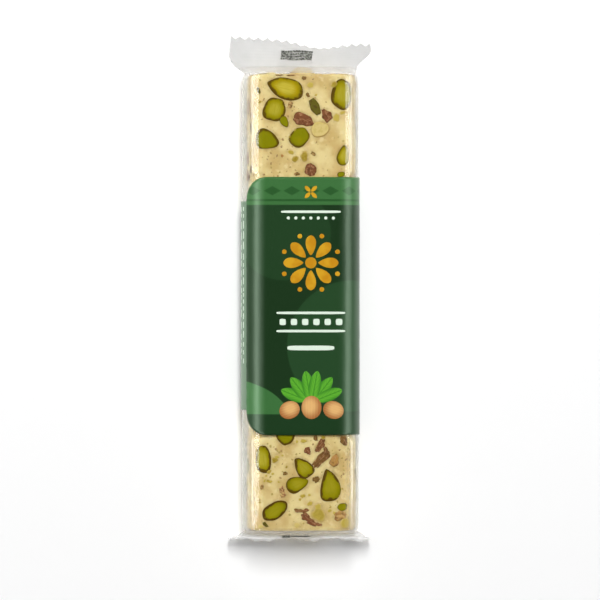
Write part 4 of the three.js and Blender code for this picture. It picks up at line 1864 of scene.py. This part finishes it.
@dataclass(frozen=True)
class NutFinish:
    """Printed round nuts: tan, darker towards one side."""

    tan: Colour = shown(226, 178, 112)
    brown: Colour = shown(168, 104, 52)

    def material(self) -> Material:
        """Tan shaded to brown towards the edge and the foot of each nut."""
        shade = Shade("nut_print")
        u, v = shade.across_up()
        gap_u, gap_v = u - 0.56, v - 0.58
        off = (gap_u * gap_u + gap_v * gap_v) ** 0.5
        grain = ((v + shade.noise(2.0, 2.0, 1.0) * 0.05) * 46.0).sine() * 0.06
        colour = shade.blend((off.rise(0.12, 0.6) + grain).clamped(), self.tan, self.brown)
        return shade.coat(Base_Color=colour, Roughness=0.4)


@dataclass(frozen=True)
class InkFinish:
    """Black ink on the film."""

    black: Colour = shown(62, 64, 58)
    worn: Colour = shown(150, 153, 144)

    def material(self) -> Material:
        """Black that is worn to grey in spots."""
        shade = Shade("black_ink")
        wear = shade.noise(0.5, 2.0, 1.0).rise(0.42, 0.62) * 0.8
        return shade.coat(Base_Color=shade.blend(wear, self.black, self.worn), Roughness=0.5)


@dataclass(frozen=True)
class FloorFinish:
    """The pale sheet that the bar lies on, faintly lit from below."""

    white: Colour = (0.93, 0.93, 0.93)
    grey: Colour = (0.915, 0.915, 0.915)
    glow: float = 0.01

    def material(self) -> Material:
        """Matt white with the faintest cloud."""
        shade = Shade("white_sheet")
        colour = shade.blend(shade.noise(60.0, 2.0, 1.0) * 0.3, self.white, self.grey)
        return shade.coat(Base_Color=colour, Roughness=0.9, Specular_IOR_Level=0.1,
                          Emission_Color=self.white, Emission_Strength=self.glow)


# ---- The studio ----


@dataclass(frozen=True)
class SoftBox:
    """An area light: its direction in degrees, its sizes in millimetres, its face's brightness."""

    azimuth: float
    zenith: float
    height: float
    length: float
    radiance: float
    distance: float = 900.0
    gloss: bool = False
    matt: bool = True
    shadow: bool = True
    passes_seal: bool = False


@dataclass(frozen=True)
class Studio:
    """The floor, the lights and the camera, in millimetres and degrees."""

    frame_pixels: float = 600.0
    mm_per_pixel: float = 0.3193
    middle_pixel: tuple[float, float] = (300.25, 302.25)
    distance: float = 1500.0
    yaw: float = 3.8
    sensor: float = 36.0
    floor_size: float = 6000.0
    left_strip: SoftBox = SoftBox(180.0, 53.5, 150.0, 2400.0, 7.5, gloss=True, matt=False)
    right_strip: SoftBox = SoftBox(0.0, 62.0, 150.0, 2400.0, 6.0, gloss=True, matt=False)
    key: SoftBox = SoftBox(90.0, 28.0, 700.0, 230.0, 31.0, 1400.0, passes_seal=True)
    wide_key: SoftBox = SoftBox(90.0, 28.0, 700.0, 2200.0, 1.6, 1400.0, passes_seal=True)
    left_side: SoftBox = SoftBox(180.0, 82.0, 400.0, 2000.0, 4.6, 1500.0, shadow=False)
    right_side: SoftBox = SoftBox(0.0, 82.0, 400.0, 2000.0, 3.0, 1500.0, shadow=False)
    fill: SoftBox = SoftBox(-90.0, 82.0, 300.0, 1400.0, 3.0, shadow=False)
    world_level: float = 0.02

    def build(self, shop: Workshop) -> None:
        """Makes the floor, the lights, the surroundings and the camera."""
        self.floor(shop)
        self.lights()
        self.camera(shop)
        bpy.context.scene.view_settings.view_transform = "Standard"

    def floor(self, shop: Workshop) -> None:
        """A large flat sheet at the height of the bar's base."""
        corners = np.array([[-1, -1, 0], [1, -1, 0], [1, 1, 0], [-1, 1, 0]])
        sheet = Patch(corners * self.floor_size / 2, [np.array([[0, 1, 2, 3]])])
        shop.piece("floor_sheet", sheet, FloorFinish().material())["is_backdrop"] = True

    def soft_box(self, name: str, box: SoftBox) -> None:
        """A soft box that faces the bar's middle, its long side level.

        Args:
            name: its name.
            box: where it is, its size and how bright its face is.
        """
        data = bpy.data.lights.new(name, "AREA")
        data.shape = "RECTANGLE"
        data.size, data.size_y = box.height * MM, box.length * MM
        data.energy = box.radiance * math.pi * data.size * data.size_y
        data.use_shadow = box.shadow
        lamp = bpy.data.objects.new(name, data)
        zenith, azimuth = math.radians(box.zenith), math.radians(box.azimuth)
        level = math.sin(zenith)
        toward = Vector((level * math.cos(azimuth), level * math.sin(azimuth), math.cos(zenith)))
        lamp.location = toward * (box.distance * MM)
        lamp.rotation_euler = (0.0, zenith, azimuth)
        lamp.visible_glossy, lamp.visible_diffuse = box.gloss, box.matt
        if box.passes_seal:
            lamp.light_linking.blocker_collection = self.clear_pieces()
        bpy.context.scene.collection.objects.link(lamp)

    @functools.cache
    def clear_pieces(self) -> bpy.types.Collection:
        """Holds the clear top seal as the one piece that throws no shadow from the key lights."""
        clear = bpy.data.collections.new("clear_pieces")
        clear.objects.link(bpy.data.objects[TOP_SEAL_NAME])
        clear.collection_objects[0].light_linking.link_state = "EXCLUDE"
        return clear

    def lights(self) -> None:
        """Strips that only shine in the gloss, matt light from all round, and an even surround."""
        for name, box in vars(self).items():
            if isinstance(box, SoftBox):
                self.soft_box(name, box)
        world = bpy.data.worlds.new("surround")
        world.use_nodes = True
        background = world.node_tree.nodes["Background"]
        background.inputs["Color"].default_value = (self.world_level,) * 3 + (1.0,)
        bpy.context.scene.world = world

    def camera(self, shop: Workshop) -> None:
        """A long lens over the bar, turned a little so that the left side shows."""
        data = bpy.data.cameras.new("camera")
        data.sensor_width = self.sensor
        data.lens = self.sensor * self.distance / (self.frame_pixels * self.mm_per_pixel)
        data.clip_start, data.clip_end = 0.05, 20.0
        yaw = math.radians(self.yaw)
        rise, half = Section.depth / 2, self.frame_pixels / 2
        target = shop.middle + [
            (half - self.middle_pixel[0]) * self.mm_per_pixel - rise * math.tan(yaw),
            (self.middle_pixel[1] - half) * self.mm_per_pixel,
            MIDDLE_Z + rise,
        ]
        back = np.array([-math.sin(yaw), 0.0, math.cos(yaw)])
        camera = bpy.data.objects.new("camera", data)
        camera.location = Vector((target + back * self.distance) * MM)
        camera.rotation_mode = "XYZ"
        camera.rotation_euler = (0.0, -yaw, 0.0)
        bpy.context.scene.collection.objects.link(camera)
        bpy.context.scene.camera = camera


# ---- The whole ----


def main() -> None:
    """Builds the bar and its studio in order."""
    logging.basicConfig(level=logging.INFO, format="%(name)s: %(message)s")
    shop = Workshop()
    nougat = Nougat()
    mix = Mix(nougat)
    nougat.build(shop, mix.nearness)
    mix.build(shop)
    Bag().build(shop)
    Band().build(shop)
    Studio().build(shop)


if __name__ == "__main__":
    main()
